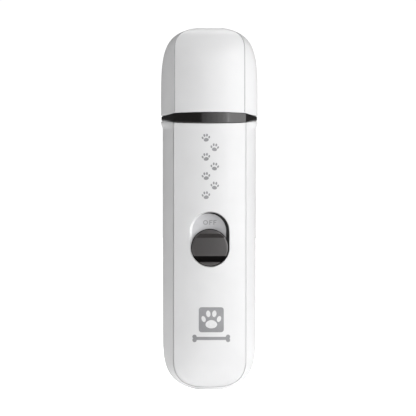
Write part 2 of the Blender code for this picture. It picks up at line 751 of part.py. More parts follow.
def battery():
    housing = BODIES["housing"]
    low, top = CELL_LOW_Z, CELL_TOP_Z
    shape = [(0, low), (6.8, low), (CELL_RADIUS, low + 0.3), (CELL_RADIUS, top - 0.3), (6.8, top)]
    shape += [(2.7, top), (2.7, top + 1.0), (0, top + 1.0)]
    add("battery_cell", turned(shape, MEDIUM), "cell_wrap", housing, (0, CELL_Y, 0))
    for name, base in (("top", top + 1.3), ("bottom", low - 0.55)):
        tab = block((-1.5, 1.5), (CELL_Y - 5, CELL_Y + 2), (base, base + 0.25))
        add(f"battery_tab_{name}", tab, "steel", housing)
    trough = arc(8.6, -8, 188, 14) + arc(7.4, 188, -8, 14)
    add("battery_cradle", prism(trough, 19, 54), "inner_plastic", housing, (0, CELL_Y, 0))


def control_board():
    housing = BODIES["housing"]
    back = BOARD_Y + BOARD_THICKNESS
    shape = block((-BOARD_HALF_WIDTH, BOARD_HALF_WIDTH), (BOARD_Y, back), (BOARD_LOW_Z, BOARD_TOP_Z))
    board = add("control_board", shape, "board", housing)
    for side, name in ((-1, "left"), (1, "right")):
        hole = screw_post(side * BOARD_SCREW_X, BOARD_SCREW_Z, 1.11, -8, -3)
        cut(board, hole)
        shape = [(0, -4.6), (0.8, -4.6), (0.8, 0.3), (1.7, 0.3), (1.7, 1.3), (0, 1.3)]
        at = (side * BOARD_SCREW_X, back, BOARD_SCREW_Z)
        turn = (-math.pi / 2, 0, 0)
        add(f"board_screw_{name}", turned(shape, COARSE), "steel", housing, at, turn)
    chip = block((-3, 3), (back + GAP, back + 1.5), (26, 32))
    add("charge_controller", chip, "magnet", housing)
    add("motor_capacitor", rod(1.3, 46, 54, COARSE), "black_lead", housing, (6.2, back + 1.7, 0))
    socket_y = (SOCKET_Y - 1.35, SOCKET_Y + 1.35)
    socket = add("charge_socket", block((-3.75, 3.75), socket_y, (0.7, 6.4)), "steel", housing)
    mouth = block((-3.4, 3.4), (socket_y[0] + 0.35, socket_y[1] - 0.35), (0, 5.6))
    cut(socket, add("socket_mouth", mouth))
    tongue = block((-2.2, 2.2), (SOCKET_Y - 0.3, SOCKET_Y + 0.3), (1.6, 5.9))
    join(socket, add("socket_tongue", tongue))


def lead(name, finish, points):
    """An insulated wire: a smooth tube through a few hand-placed points."""
    curve = bpy.data.curves.new(name, "CURVE")
    curve.dimensions = "3D"
    curve.bevel_depth = 0.55 * MM
    curve.bevel_resolution = 1
    curve.use_fill_caps = True
    spline = curve.splines.new("POLY")
    steps = 4
    knots = [Vector(p) for p in [points[0], *points, points[-1]]]
    path = []
    for a, b, c, d in zip(knots, knots[1:], knots[2:], knots[3:]):
        for k in range(steps):
            t = k / steps
            curve_point = 2 * b + (c - a) * t + (2 * a - 5 * b + 4 * c - d) * t**2
            curve_point += (3 * b - a - 3 * c + d) * t**3
            path.append(curve_point / 2)
    path.append(knots[-1])
    spline.points.add(len(path) - 1)
    for point, place in zip(spline.points, path):
        point.co = (*(place * MM), 1.0)
    obj = bpy.data.objects.new(name, curve)
    bpy.context.scene.collection.objects.link(obj)
    curve.materials.append(SURFACES[finish])
    obj.parent = BODIES["housing"]


def leads():
    lead("motor_lead_red", "red_lead", [(5.5, -4.2, 60), (5.8, -2.6, 61), (6, -0.8, 63), (5.7, 0.3, 65)])
    route = [(-5.5, -4.2, 60), (-5.8, -2.6, 61), (-6, -0.8, 63), (-5.7, 0.3, 65)]
    lead("motor_lead_black", "black_lead", route)
    lead("battery_lead_red", "red_lead", [(0, 1.5, 62.9), (-0.6, -1, 63.2), (-1.6, -3, 62.2), (-2, -4.2, 60)])
    route = [(0, 1.5, 9.6), (0.8, -1, 9.3), (2, -2.8, 10.4), (2.4, -4.2, 12)]
    lead("battery_lead_black", "black_lead", route)


def housing_screws():
    for side, name in ((-1, "left"), (1, "right")):
        for z, row in zip(SCREW_HEIGHTS, ("lower", "upper")):
            shape = [(0, -8.2), (1.0, -8.2), (1.0, 7.5), (2.0, 7.5), (2.0, 8.9), (0, 8.9)]
            at, turn = (side * SCREW_X, 0, z), (-math.pi / 2, 0, 0)
            screw = turned(shape, COARSE)
            screw = add(f"housing_screw_{row}_{name}", screw, "steel", BODIES["housing"], at, turn)
            across = block((-1.2, 1.2), (-0.25, 0.25), (8.2, 10))
            down = block((-0.25, 0.25), (-1.2, 1.2), (8.21, 10))
            for word, bar in (("across", across), ("down", down)):
                cut(screw, add(f"drive_{word}_{row}_{name}", bar, at=at, turn=turn))


def add_body(name, at=(0, 0, 0)):
    empty = bpy.data.objects.new(f"body_{name}", None)
    bpy.context.scene.collection.objects.link(empty)
    empty.location = Vector(at) * MM
    return empty


clear_scene()
SURFACES = make_materials()
BODIES = {name: add_body(name) for name in ("housing", "spindle", "switch", "guard", "cap")}

rear_housing()
front_cover()
collar_band()
neck_frame()
neck_seal()
nail_guard()
cap()
switch_plate()
switch_knob()
switch_carrier()
slide_switch()
motor()
rotor()
motor_bracket()
bearing()
shaft_coupling()
spindle_and_collet()
grinding_drum()
battery()
control_board()
leads()
housing_screws()
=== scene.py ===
"""The looks of a cordless pet nail grinder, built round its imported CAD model.

Lengths are written in millimetres and turned into metres by MM. The long axis is +Z, the front
with the switch faces -Y, and the origin is the middle of the flat bottom end.
"""

import json
import math

import bmesh
import bpy
from mathutils import Matrix, Vector, noise


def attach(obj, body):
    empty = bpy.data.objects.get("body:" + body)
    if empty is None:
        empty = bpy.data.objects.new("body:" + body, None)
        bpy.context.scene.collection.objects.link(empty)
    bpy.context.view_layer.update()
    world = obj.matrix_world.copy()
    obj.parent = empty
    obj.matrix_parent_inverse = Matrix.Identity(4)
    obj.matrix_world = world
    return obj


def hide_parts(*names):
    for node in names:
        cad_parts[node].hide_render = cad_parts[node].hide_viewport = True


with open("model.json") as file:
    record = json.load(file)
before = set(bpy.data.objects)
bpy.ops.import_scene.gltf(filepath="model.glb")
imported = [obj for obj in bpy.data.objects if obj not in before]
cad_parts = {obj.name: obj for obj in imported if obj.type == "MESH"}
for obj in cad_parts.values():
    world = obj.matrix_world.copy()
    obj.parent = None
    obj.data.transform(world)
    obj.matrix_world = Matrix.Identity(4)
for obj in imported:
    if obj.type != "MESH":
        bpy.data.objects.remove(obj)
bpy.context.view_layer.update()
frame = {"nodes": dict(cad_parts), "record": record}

MM = 0.001

# ---- Outer shape, the same surface as the CAD model's ----
HALF_WIDTH = 19.35
FRONT_DEPTH = 15.0
BACK_DEPTH = 16.26
CREASE_X = 14.93  # from the middle to the line between front panel and side facet
CAP_CREASE_X = 14.47
PANEL_BULGE = 2.3
WIDEST_Y = -1.0
REAR_EXPONENT = 2.5
CAP_OUTSET = 0.74
WALL = 1.8
HEIGHT = 150.0

# ---- Collar band ----
BAND_Z = 112.6
BAND_HALF_AT_SIDE = 1.1
BAND_HALF_AT_FRONT = 2.41
FLARE_START = 3.4
FLARE_END = 0.6
FLARE_DEPTH_SHARE = 0.15
RIM_ROUNDING, RIM_ROUNDING_HEIGHT = 0.4, 0.5

# ---- Switch ----
SWITCH_TRAVEL = 6.85
RECESS_RADIUS = 8.02
RECESS_LOW_Z = 59.0
KNOB_RADIUS = 7.78

# ---- Neck, guard and drum ----
NECK_INSET = 2.1
NECK_LOW_Z, NECK_TOP_Z = 99.0, 118.0
BORE_INSET = 1.7
CAP_ROOF = 2.6
GUARD_INSET, GUARD_WALL = 3.4, 1.5
GUARD_LOW_Z, GUARD_TOP_Z = 118.4, 144.0
DOME_START, DOME_HEIGHT = 131.5, 13.8
PORTS = ((7.8, 4.0), (-7.6, 3.2))
DRUM_LOW_Z, DRUM_TOP_Z, DRUM_RADIUS = 127.6, 139.0, 5.2


# ==== Surface of handle and cap ====


def mix(a, b, share):
    return a + (b - a) * share


# How a size closes in towards an end: from which height, over what length (negative downwards),
# and the exponents of its curve along and across the end.
BOTTOM_WIDTH = (30.4, -30.95, 5.0, 2.08)
BOTTOM_CREASE = (12.7, -11.45, 2.3, 3.0)
BOTTOM_DEPTH = (15.5, -17.0, 2.4, 2.2)
TOP_WIDTH = (113.75, 36.3, 4.9, 3.08)
TOP_CREASE = (140.0, 10.35, 3.0, 2.6)
TOP_DEPTH = (129.0, 22.0, 2.6, 2.3)
WIDEST_CREASE_SHARE = 0.93


def closing(z, start, length, along, across):
    """How much of its full size an outline still has at this height."""
    share = max(0.0, (z - start) / length)
    return max(0.0, 1 - share**along) ** (1 / across)


def crease_height(x):
    """The height at which the handle's crease has closed in to this x."""
    start, length, along, across = BOTTOM_CREASE
    return start + length * (1 - (abs(x) / CREASE_X) ** across) ** (1 / along)


def cap_half_width(z):
    return HALF_WIDTH * closing(z, *TOP_WIDTH)


def cap_crease(z, at_band=CAP_CREASE_X):
    return min(at_band * closing(z, *TOP_CREASE), WIDEST_CREASE_SHARE * cap_half_width(z))


def panel_y(x, front=-FRONT_DEPTH):
    return front + PANEL_BULGE * (x / CREASE_X) ** 2


def bezier(points, t):
    u = 1 - t
    weights = (u**3, 3 * u * u * t, 3 * u * t * t, t**3)
    return tuple(sum(w * p[k] for w, p in zip(weights, points)) for k in (0, 1))


FRONT_STEPS, FACET_STEPS, REAR_STEPS = 20, 16, 30
# Where the facet's curve is pulled to, as shares of its run and rise, at a point and at full width.
LEAD_RUN, LEAD_RISE, TAIL_RISE = (0.55, 0.37), (0.0, 0.295), (0.55, 0.16)


def half_section(half_width, crease, front, back):
    """The right half of a cross-section, from the front middle round to the back middle."""
    points = []
    for k in range(FRONT_STEPS + 1):
        x = crease * math.sin(math.pi / 2 * k / FRONT_STEPS)
        points.append((x, panel_y(x, front)))
    start, end = points[-1], (half_width, WIDEST_Y)
    run, rise = end[0] - start[0], end[1] - start[1]
    flatness = crease / CREASE_X
    lead = (start[0] + run * mix(*LEAD_RUN, flatness), start[1] + rise * mix(*LEAD_RISE, flatness))
    tail = (half_width, end[1] - rise * mix(*TAIL_RISE, flatness))
    for k in range(1, FACET_STEPS + 1):
        points.append(bezier((start, lead, tail, end), k / FACET_STEPS))
    for k in range(1, REAR_STEPS):
        angle = math.pi / 2 * k / REAR_STEPS
        x = half_width * math.cos(angle) ** (2 / REAR_EXPONENT)
        y = WIDEST_Y + (back - WIDEST_Y) * math.sin(angle) ** (2 / REAR_EXPONENT)
        points.append((x, y))
    points.append((0.0, back))
    return points


def handle_section(z):
    width, crease = HALF_WIDTH * closing(z, *BOTTOM_WIDTH), CREASE_X * closing(z, *BOTTOM_CREASE)
    depth = closing(z, *BOTTOM_DEPTH)
    return half_section(width, crease, -FRONT_DEPTH * depth, BACK_DEPTH * depth)


SECTION = handle_section(96)  # where the handle has its full size


def cap_section(z, crease_at_band=CAP_CREASE_X):
    depth = closing(z, *TOP_DEPTH)
    crease = cap_crease(z, crease_at_band)
    return half_section(cap_half_width(z), crease, -FRONT_DEPTH * depth, BACK_DEPTH * depth)


def grown(points, outset):
    """The section made larger all round by about outset, or smaller if that is negative."""
    wide = 1 + outset / HALF_WIDTH
    front, back = 1 + outset / FRONT_DEPTH, 1 + outset / BACK_DEPTH
    return [(x * wide, y * (front if y < 0 else back)) for x, y in points]


def flared_depth(y, outset):
    """A depth moved out by the small share of the flare that the front and back take."""
    depth = FRONT_DEPTH if y < 0 else BACK_DEPTH
    return y * (1 + FLARE_DEPTH_SHARE * outset / depth)


def flared(points, outset):
    """The section made wider by outset at the sides and hardly deeper. Its crease stays in place."""
    crease, widest = points[FRONT_STEPS][0], max(x for x, _ in points)
    result = []
    for x, y in points:
        share = max(0.0, (x - crease) / (widest - crease)) if y < WIDEST_Y else 1.0
        result.append((x * (1 + share * outset / HALF_WIDTH), flared_depth(y, outset)))
    return result


def ring(half, height):
    """A whole loop of 3-D points from a half section. height is a z, or a function of y."""
    whole = half + [(-x, y) for x, y in reversed(half[1:-1])]
    level = height if callable(height) else lambda y: height
    return [(x, y, level(y)) for x, y in whole]


def band_half(y):
    """Half the collar band's height at this depth."""
    return mix(BAND_HALF_AT_SIDE, BAND_HALF_AT_FRONT, (y / FRONT_DEPTH) ** 2)


def below_band(distance):
    return lambda y: BAND_Z - band_half(y) - distance


def above_band(distance):
    return lambda y: BAND_Z + band_half(y) + distance


def flare(distance):
    """How far the rim next to the band stands out, at this distance from the band."""
    share = min(1.0, max(0.0, (FLARE_START - distance) / (FLARE_START - FLARE_END)))
    rounding = RIM_ROUNDING * max(0.0, 1 - distance / RIM_ROUNDING_HEIGHT) ** 2
    return CAP_OUTSET * share * share * (3 - 2 * share) - rounding


# ==== Mesh helpers ====


def walls(loops):
    """Quads between neighbouring loops of equal length."""
    faces = []
    count = len(loops[0])
    for row in range(len(loops) - 1):
        low, high = row * count, (row + 1) * count
        for k in range(count):
            n = (k + 1) % count
            faces.append((low + k, low + n, high + n, high + k))
    return faces


def joined(loops):
    return [p for loop in loops for p in loop]


def strip_cap(start, count):
    """Closes a mirror-symmetric loop with strips across it."""
    last = count // 2
    faces = [(start, start + 1, start + count - 1)]
    for k in range(1, last - 1):
        faces.append((start + k, start + k + 1, start + count - k - 1, start + count - k))
    faces.append((start + last - 1, start + last, start + last + 1))
    return faces


SAME_PLACE = 1e-7  # metres


def added(name, data):
    """A new object of this data, in the scene."""
    obj = bpy.data.objects.new(name, data)
    bpy.context.scene.collection.objects.link(obj)
    return obj


def new_object(name, points, faces):
    """An object from points in millimetres, its doubled points merged and its faces turned out."""
    mesh = bpy.data.meshes.new(name)
    mesh.from_pydata([Vector(p) * MM for p in points], [], faces)
    bm = bmesh.new()
    bm.from_mesh(mesh)
    bmesh.ops.remove_doubles(bm, verts=bm.verts, dist=SAME_PLACE)
    bmesh.ops.dissolve_degenerate(bm, edges=bm.edges, dist=SAME_PLACE)
    bmesh.ops.recalc_face_normals(bm, faces=bm.faces)
    bm.to_mesh(mesh)
    bm.free()
    return added(name, mesh)


def prism(name, loops):
    """A closed body through loops of equal length, with one flat face at each end."""
    count = len(loops[0])
    points = joined(loops)
    ends = [tuple(range(count)), tuple(range(len(points) - count, len(points)))]
    return new_object(name, points, walls(loops) + ends)


def loft(name, loops, ends=True):
    """A closed body through the loops: capped at both ends, or joined end to start."""
    count = len(loops[0])
    if not ends:
        loops = loops + [loops[0]]
    faces = walls(loops)
    points = joined(loops)
    if ends:
        faces += strip_cap(0, count) + strip_cap(len(points) - count, count)
    return new_object(name, points, faces)


def turned(k, steps):
    """The cosine and sine of step k of a full turn."""
    angle = math.tau * k / steps
    return math.cos(angle), math.sin(angle)


def lathe(name, profile, steps, rounding=0.0, centre=(0.0, 0.0)):
    """A closed body turned round an upright axis from a closed (radius, z) profile."""
    outline = rounded(profile, rounding) if rounding else profile
    loops = []
    for k in range(steps):
        c, s = turned(k, steps)
        loops.append([(centre[0] + r * c, centre[1] + r * s, z) for r, z in outline])
    return loft(name, loops, ends=False)


ON_AXIS = 1e-6
CORNER_SHARE = 0.45


def rounded(outline, radius, steps=3):
    """A closed outline with its corners rounded off, except for those on the axis x = 0."""
    result = []
    count = len(outline)
    for k in range(count):
        before, here, after = (Vector(outline[(k + d) % count]) for d in (-1, 0, 1))
        to_before, to_after = before - here, after - here
        if min(here.x, to_before.length, to_after.length) < ON_AXIS:
            result.append(tuple(here))
            continue
        a = here + to_before.normalized() * min(radius, to_before.length * CORNER_SHARE)
        b = here + to_after.normalized() * min(radius, to_after.length * CORNER_SHARE)
        for step in range(steps + 1):
            t = step / steps
            point = a * (1 - t) ** 2 + here * 2 * t * (1 - t) + b * t * t
            result.append(tuple(point))
    return result


def rounded_box(cx, cz, width, height, radius, steps=6):
    """A box outline whose corners are rounded well away from the axis."""
    aside = 50
    right, left = cx + width / 2 + aside, cx - width / 2 + aside
    top, bottom = cz + height / 2, cz - height / 2
    corners = [(right, top), (left, top), (left, bottom), (right, bottom)]
    return [(x - aside, z) for x, z in rounded(corners, radius, steps)]


def stadium(radius, offset=(0.0, 0.0)):
    """Two half rounds the switch's travel apart, the lower one round the offset."""
    steps = 28
    points = []
    for start, lift in ((0, SWITCH_TRAVEL), (180, 0)):
        for k in range(steps + 1):
            angle = math.radians(start + 180 * k / steps)
            x, z = radius * math.cos(angle), radius * math.sin(angle) + lift
            points.append((x + offset[0], z + offset[1]))
    return points


def at_recess(outline, depth):
    """Puts an outline at the recess. depth, a number or a function of x, is its distance from the axis."""
    level = depth if callable(depth) else lambda x: depth
    return [(x, -level(x), z + RECESS_LOW_Z) for x, z in outline]


def carve(obj, *cutters):
    """Cuts the cutters out of obj's mesh for good, and deletes them."""
    for cutter in cutters:
        step = obj.modifiers.new(cutter.name, "BOOLEAN")
        step.operation = "DIFFERENCE"
        step.solver = "EXACT"
        step.object = cutter
    bpy.context.view_layer.update()
    done = obj.evaluated_get(bpy.context.evaluated_depsgraph_get())
    mesh = bpy.data.meshes.new_from_object(done)
    obj.modifiers.clear()
    obj.data = mesh
    for cutter in cutters:
        bpy.data.objects.remove(cutter)


def soften_edges(obj, width, angle=50):
    """Rounds every edge sharper than the angle by width millimetres."""
    step = obj.modifiers.new("rounded_edges", "BEVEL")
    step.width = width * MM
    step.segments = 3
    step.limit_method = "ANGLE"
    step.angle_limit = math.radians(angle)
    step.use_clamp_overlap = True


def dress(obj, body, slot, replaces=(), material=None, crease=32):
    """Shading, body, the CAD nodes this piece stands for, and its slot's material or another."""
    obj.data.materials.clear()
    obj.data.materials.append(material or MATERIALS[slot])
    obj.data.shade_smooth()
    obj.data.set_sharp_from_angle(angle=math.radians(crease))
    weighted = obj.modifiers.new("weighted_normals", "WEIGHTED_NORMAL")
    weighted.keep_sharp = True
    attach(obj, body)
    if replaces:
        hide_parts(*replaces)


# ==== Materials ====


class Nodes:
    """Short ways to add nodes to one tree and wire them."""

    def __init__(self, owner):
        owner.use_nodes = True
        self.tree = owner.node_tree

    def node(self, kind, **values):
        made = self.tree.nodes.new(kind)
        for key, value in values.items():
            if key in made.inputs:
                made.inputs[key].default_value = value
            else:
                setattr(made, key, value)
        return made

    def link(self, source, target):
        self.tree.links.new(source, target)

    def ramp(self, source, low, high, start=0.35, end=0.65):
        ends = {"From Min": start, "From Max": end, "To Min": low, "To Max": high}
        made = self.node("ShaderNodeMapRange", **ends)
        self.link(source, made.inputs["Value"])
        return made.outputs["Result"]


# The sockets of a Mix node that take and give colours.
MIX_FACTOR, MIX_FIRST, MIX_SECOND, MIX_RESULT = 0, 6, 7, 2


class Shader(Nodes):
    """A Principled material and short ways to wire procedural detail into it."""

    def __init__(self, name, colour, roughness, metallic=0.0):
        self.material = bpy.data.materials.new(name)
        super().__init__(self.material)
        self.surface = self.tree.nodes["Principled BSDF"]
        self.constant("Base Color", (*colour, 1))
        self.constant("Roughness", roughness)
        self.constant("Metallic", metallic)
        self.place = self.node("ShaderNodeTexCoord").outputs["Object"]
        self.last_normal = None

    def constant(self, socket, value):
        self.surface.inputs[socket].default_value = value

    def stretched(self, scale):
        mapping = self.node("ShaderNodeMapping", Scale=scale)
        self.link(self.place, mapping.inputs["Vector"])
        return mapping.outputs["Vector"]

    def noise(self, size_mm, detail=3.0, stretch=None):
        """Noise whose features are about size_mm across."""
        made = self.node("ShaderNodeTexNoise", Scale=1 / (size_mm * MM), Detail=detail, Roughness=0.55)
        self.link(self.stretched(stretch) if stretch else self.place, made.inputs["Vector"])
        return made.outputs["Fac"]

    def tint(self, source, first, second, start=0.35, end=0.65):
        made = self.node("ShaderNodeMix", data_type="RGBA")
        made.inputs[MIX_FIRST].default_value = (*first, 1)
        made.inputs[MIX_SECOND].default_value = (*second, 1)
        self.link(self.ramp(source, 0, 1, start, end), made.inputs[MIX_FACTOR])
        self.link(made.outputs[MIX_RESULT], self.surface.inputs["Base Color"])

    def vary_roughness(self, source, low, high):
        self.link(self.ramp(source, low, high), self.surface.inputs["Roughness"])

    def bump(self, source, depth_mm):
        made = self.node("ShaderNodeBump", Strength=1.0, Distance=depth_mm * MM)
        self.link(source, made.inputs["Height"])
        if self.last_normal:
            self.link(self.last_normal, made.inputs["Normal"])
        self.last_normal = made.outputs["Normal"]
        self.link(self.last_normal, self.surface.inputs["Normal"])


def scaled(colour, factor):
    return tuple(c * factor for c in colour)


def glossy_plastic(name, colour, roughness, coat=0.0, peel=0.0015, ior=1.5):
    """Moulded plastic: slight cloudiness, a faint orange peel and fine handling haze."""
    shader = Shader(name, colour, roughness)
    shader.constant("IOR", ior)
    shader.tint(shader.noise(14, 2), colour, scaled(colour, 0.975))
    shader.vary_roughness(shader.noise(3.5, 4), roughness * 0.85, roughness * 1.2)
    shader.bump(shader.noise(1.6, 2), peel)
    shader.constant("Coat Weight", coat)
    shader.constant("Coat Roughness", 0.06)
    return shader.material


def satin_plastic(name, colour, roughness, grain_mm=0.35, depth_mm=0.012, shine=0.5):
    """Spark-eroded plastic: a fine even grain that breaks up the shine."""
    shader = Shader(name, colour, roughness)
    shader.constant("Specular IOR Level", shine)
    shader.tint(shader.noise(6, 3), colour, scaled(colour, 0.9))
    shader.vary_roughness(shader.noise(1.2, 4), roughness * 0.85, min(1, roughness * 1.2))
    shader.bump(shader.noise(grain_mm, 3), depth_mm)
    return shader.material


def bare_metal(name, colour, roughness, stretch):
    """Turned or rolled metal: fine lines along the way it was worked, and duller patches."""
    shader = Shader(name, colour, roughness, 1.0)
    lines = shader.noise(0.25, 3, stretch)
    shader.tint(shader.noise(4, 4), colour, scaled(colour, 0.82))
    shader.vary_roughness(lines, roughness * 0.75, roughness * 1.35)
    shader.bump(lines, 0.004)
    return shader.material


def grit():
    shader = Shader("abrasive_grit", (0.34, 0.25, 0.19), 0.95)
    grains = shader.node("ShaderNodeTexVoronoi", Scale=1 / (0.42 * MM))
    shader.link(shader.place, grains.inputs["Vector"])
    shader.tint(grains.outputs["Distance"], (0.50, 0.38, 0.30), (0.16, 0.11, 0.08), 0.05, 0.6)
    shader.bump(grains.outputs["Distance"], 0.16)
    shader.bump(shader.noise(0.15, 3), 0.05)
    return shader.material


def circuit_board():
    shader = Shader("solder_mask", (0.02, 0.2, 0.09), 0.32)
    greens = {"Color1": (0.015, 0.17, 0.07, 1), "Color2": (0.02, 0.21, 0.09, 1)}
    gaps = {"Mortar": (0.05, 0.32, 0.15, 1), "Mortar Size": 0.04}
    tracks = shader.node("ShaderNodeTexBrick", Scale=1 / (2.4 * MM), **greens, **gaps)
    shader.link(shader.place, tracks.inputs["Vector"])
    shader.link(tracks.outputs["Color"], shader.surface.inputs["Base Color"])
    shader.vary_roughness(shader.noise(1.5), 0.25, 0.45)
    return shader.material


ALONG = (6, 6, 0.25)
ACROSS = (0.3, 0.3, 8)

WHITE = (0.80, 0.80, 0.805)
DARK = (0.0075, 0.0062, 0.0058)
MATERIALS = {
    "white_shell": glossy_plastic("white_gloss_plastic", WHITE, 0.2, coat=0.2),
    "dark_gloss": glossy_plastic("dark_gloss_plastic", DARK, 0.08, peel=0.0005, ior=1.9),
    "silver_plate": satin_plastic("silver_grey_satin", (0.58, 0.58, 0.595), 0.38, 0.3, 0.003),
    "neck_plastic": satin_plastic("neck_grained_plastic", (0.075, 0.075, 0.08), 0.45),
    "guard_plastic": glossy_plastic("guard_milky_plastic", (0.72, 0.74, 0.76), 0.28),
    "rubber": satin_plastic("seal_rubber", (0.025, 0.025, 0.026), 0.75, 0.2, 0.02),
    "steel": bare_metal("turned_steel", (0.58, 0.58, 0.60), 0.28, ACROSS),
    "brass": bare_metal("turned_brass", (0.76, 0.58, 0.28), 0.26, ACROSS),
    "abrasive": grit(),
    "magnet": satin_plastic("ferrite_black", (0.05, 0.05, 0.055), 0.6, 0.2, 0.02),
    "copper": bare_metal("enamelled_copper", (0.62, 0.27, 0.14), 0.35, ALONG),
    "board": circuit_board(),
    "inner_plastic": satin_plastic("inner_grey_plastic", (0.22, 0.22, 0.23), 0.5),
    "cell_wrap": glossy_plastic("cell_shrink_wrap", (0.05, 0.20, 0.5), 0.3),
    "red_lead": satin_plastic("red_insulation", (0.55, 0.03, 0.03), 0.45, 0.5, 0.01),
    "black_lead": satin_plastic("black_insulation", (0.02, 0.02, 0.02), 0.45, 0.5, 0.01),
}
# The knob's satin plastic and darker and lighter copies of it, which paint shade and highlight onto its
# zones.
KNOB_SATIN_AND_PAINTED_TONES = [
    satin_plastic("slider_satin_plastic", (0.066, 0.062, 0.062), 0.34, 0.3, 0.004),
    # Painted shade: near black on the skirt and on the bar's lower slope.
    satin_plastic("slider_painted_shade_black", (0.0035, 0.003, 0.003), 0.5, 0.3, 0.004, 0.04),
    # Painted shade on the thumb bar's upper slope.
    satin_plastic("slider_upper_slope_painted_shade", (0.045, 0.041, 0.040), 0.4, 0.3, 0.004, 0.15),
    # Painted highlight on the rim bevel: a lighter copy of the satin, and also glossier.
    satin_plastic("slider_rim_gloss_and_painted_highlight", (0.11, 0.105, 0.105), 0.16, 0.3, 0.002),
]
SATIN, SHADED, UPPER_PAINTED_SHADE, RIM_GLOSS_AND_PAINTED_HIGHLIGHT = range(4)
# Painted shade: the grey of the fine line along the cap's crease.
CREASE_PAINTED_SHADE = satin_plastic("crease_painted_shade_grey", (0.37, 0.37, 0.38), 0.45, 0.3, 0.003)
GREY_INK = satin_plastic("grey_print_ink", (0.33, 0.33, 0.34), 0.4, 0.2, 0.003)
WHITE_INK = glossy_plastic("white_print_ink", WHITE, 0.3)
MARK_GREY = satin_plastic("engraved_mark_grey", (0.30, 0.30, 0.31), 0.45, 0.2, 0.003)


# ==== Shells ====


def end_levels(length, count):
    """Heights from 0 to length, crowded together towards 0."""
    return [length * (1 - math.cos(math.pi / 2 * k / count)) for k in range(count + 1)]


HANDLE_LEVELS = end_levels(16, 30) + [17.5, 19, 21, 23.5, 26, 28.5, 30.4, 40, 52, 64, 76, 88, 96]
RIM_DISTANCES = [8, 5, 4, 3.4, 3.2, 3.0] + [3.0 - 0.25 * k for k in range(1, 9)]
RIM_DISTANCES += [0.8, 0.6, 0.4, 0.25, 0.12, 0.04, 0]
CAP_LEVELS = [116.6, 119, 122, 125, 128, 130, 132, 134, 136]
CAP_LEVELS += [HEIGHT - z for z in reversed(end_levels(13, 32))]


def grid_faces(start, rows, columns):
    """Quads between the points of a grid, which are numbered row by row from start."""
    corners = [start + r * columns + c for r in range(rows - 1) for c in range(columns - 1)]
    return [(a, a + 1, a + columns + 1, a + columns) for a in corners]


def grid_slab(name, front, back):
    """A closed slab between two equal grids of points, each a list of rows."""
    rows, columns = len(front), len(front[0])
    points = joined(front) + joined(back)
    half = rows * columns
    faces = []
    for quad in grid_faces(0, rows, columns):
        faces += [quad, tuple(half + k for k in reversed(quad))]
    border = list(range(columns))
    border += [r * columns + columns - 1 for r in range(1, rows)]
    border += [(rows - 1) * columns + c for c in reversed(range(columns - 1))]
    border += [r * columns for r in reversed(range(1, rows - 1))]
    for a, b in zip(border, border[1:] + border[:1]):
        faces.append((b, a, half + a, half + b))
    return new_object(name, points, faces)


COLUMNS, BEND_ROWS, BEND_TOP = 48, 16, 16.0


def panel_rows(outset):
    """The front panel's surface as rows of points, outset from the crease line."""
    rows = []
    spread = [math.sin(math.pi / 2 * (2 * c / COLUMNS - 1)) for c in range(COLUMNS + 1)]
    xs = [(CREASE_X + outset) * s for s in spread]
    bends = [crease_height(CREASE_X * s) - outset for s in spread]
    for k in range(BEND_ROWS + 1):
        share = 1 - math.cos(math.pi / 2 * k / BEND_ROWS)
        row = []
        for x, low in zip(xs, bends):
            z = mix(low, BEND_TOP, share)
            row.append((x, panel_y(x, -FRONT_DEPTH * closing(z, *BOTTOM_DEPTH)), z))
        rows.append(row)
    for z in HANDLE_LEVELS:
        if z > BEND_TOP + 0.5:
            rows.append([(x, panel_y(x), z) for x in xs])
    for distance in RIM_DISTANCES:
        row = []
        for x in xs:
            y = flared_depth(panel_y(x), flare(distance))
            row.append((x, y, below_band(distance)(y)))
        rows.append(row)
    return rows


SEAM_HALF = 0.08
SEAM_RADIUS = 0.13
SEAM_SIDES = 8
PANEL_THICKNESS = 1.3
CLEAR_FRONT, CLEAR_TOP = -26.0, 130.0  # in front of the handle and above it


def shifted(rows, depth):
    return [[(x, y + depth, z) for x, y, z in row] for row in rows]


def panel_pocket():
    """The space the front panel and the gap behind it take out of the shell."""
    rows = panel_rows(SEAM_HALF)
    rows.append([(x, y, CLEAR_TOP) for x, y, z in rows[-1]])
    front = [[(x, CLEAR_FRONT, z) for x, y, z in row] for row in rows]
    return grid_slab("panel_pocket", front, shifted(rows, PANEL_THICKNESS + 0.15))


def recess_cutter():
    """A stadium tool that follows the panel's curve and leaves a rounded lip."""
    lip, steps = 0.3, 8
    stations = [(RECESS_RADIUS + lip, -1.5)]
    for k in range(steps + 1):
        angle = math.pi / 2 * k / steps
        radius = RECESS_RADIUS + lip * (1 - math.sin(angle))
        stations.append((radius, lip * (1 - math.cos(angle))))
    stations.append((RECESS_RADIUS, 4.0))
    loops = [at_recess(stadium(radius), lambda x: -panel_y(x) - depth) for radius, depth in stations]
    return prism("recess_cutter", loops)


SCREW_X, SCREW_HEIGHTS = 11.6, (16, 66)
SEAT_Y, WELL_RADIUS, WELL_OUTSIDE, SCREW_HOLE = 7.3, 2.4, 3.1, 1.35
WELL_STEPS = 48


def back_cutter(x, z):
    """A straight hole from the back down to the seat of one housing screw."""
    clear = 20
    profile = [(0, SEAT_Y), (WELL_RADIUS, SEAT_Y), (WELL_RADIUS, clear), (0, clear)]
    cutter = lathe(f"screw_recess_{x:.0f}_{z:.0f}", profile, WELL_STEPS)
    to_back = Matrix.Rotation(-math.pi / 2, 4, "X")
    cutter.matrix_world = Matrix.Translation((x * MM, 0, z * MM)) @ to_back
    return cutter


def port_cutter():
    """The opening for the charge socket in the bottom end."""
    outline = rounded_box(0, 0, 8.6, 3.8, 0.7, 5)
    return prism("port_cutter", [[(x, y - 3.15, z) for x, y in outline] for z in (-1, 4)])


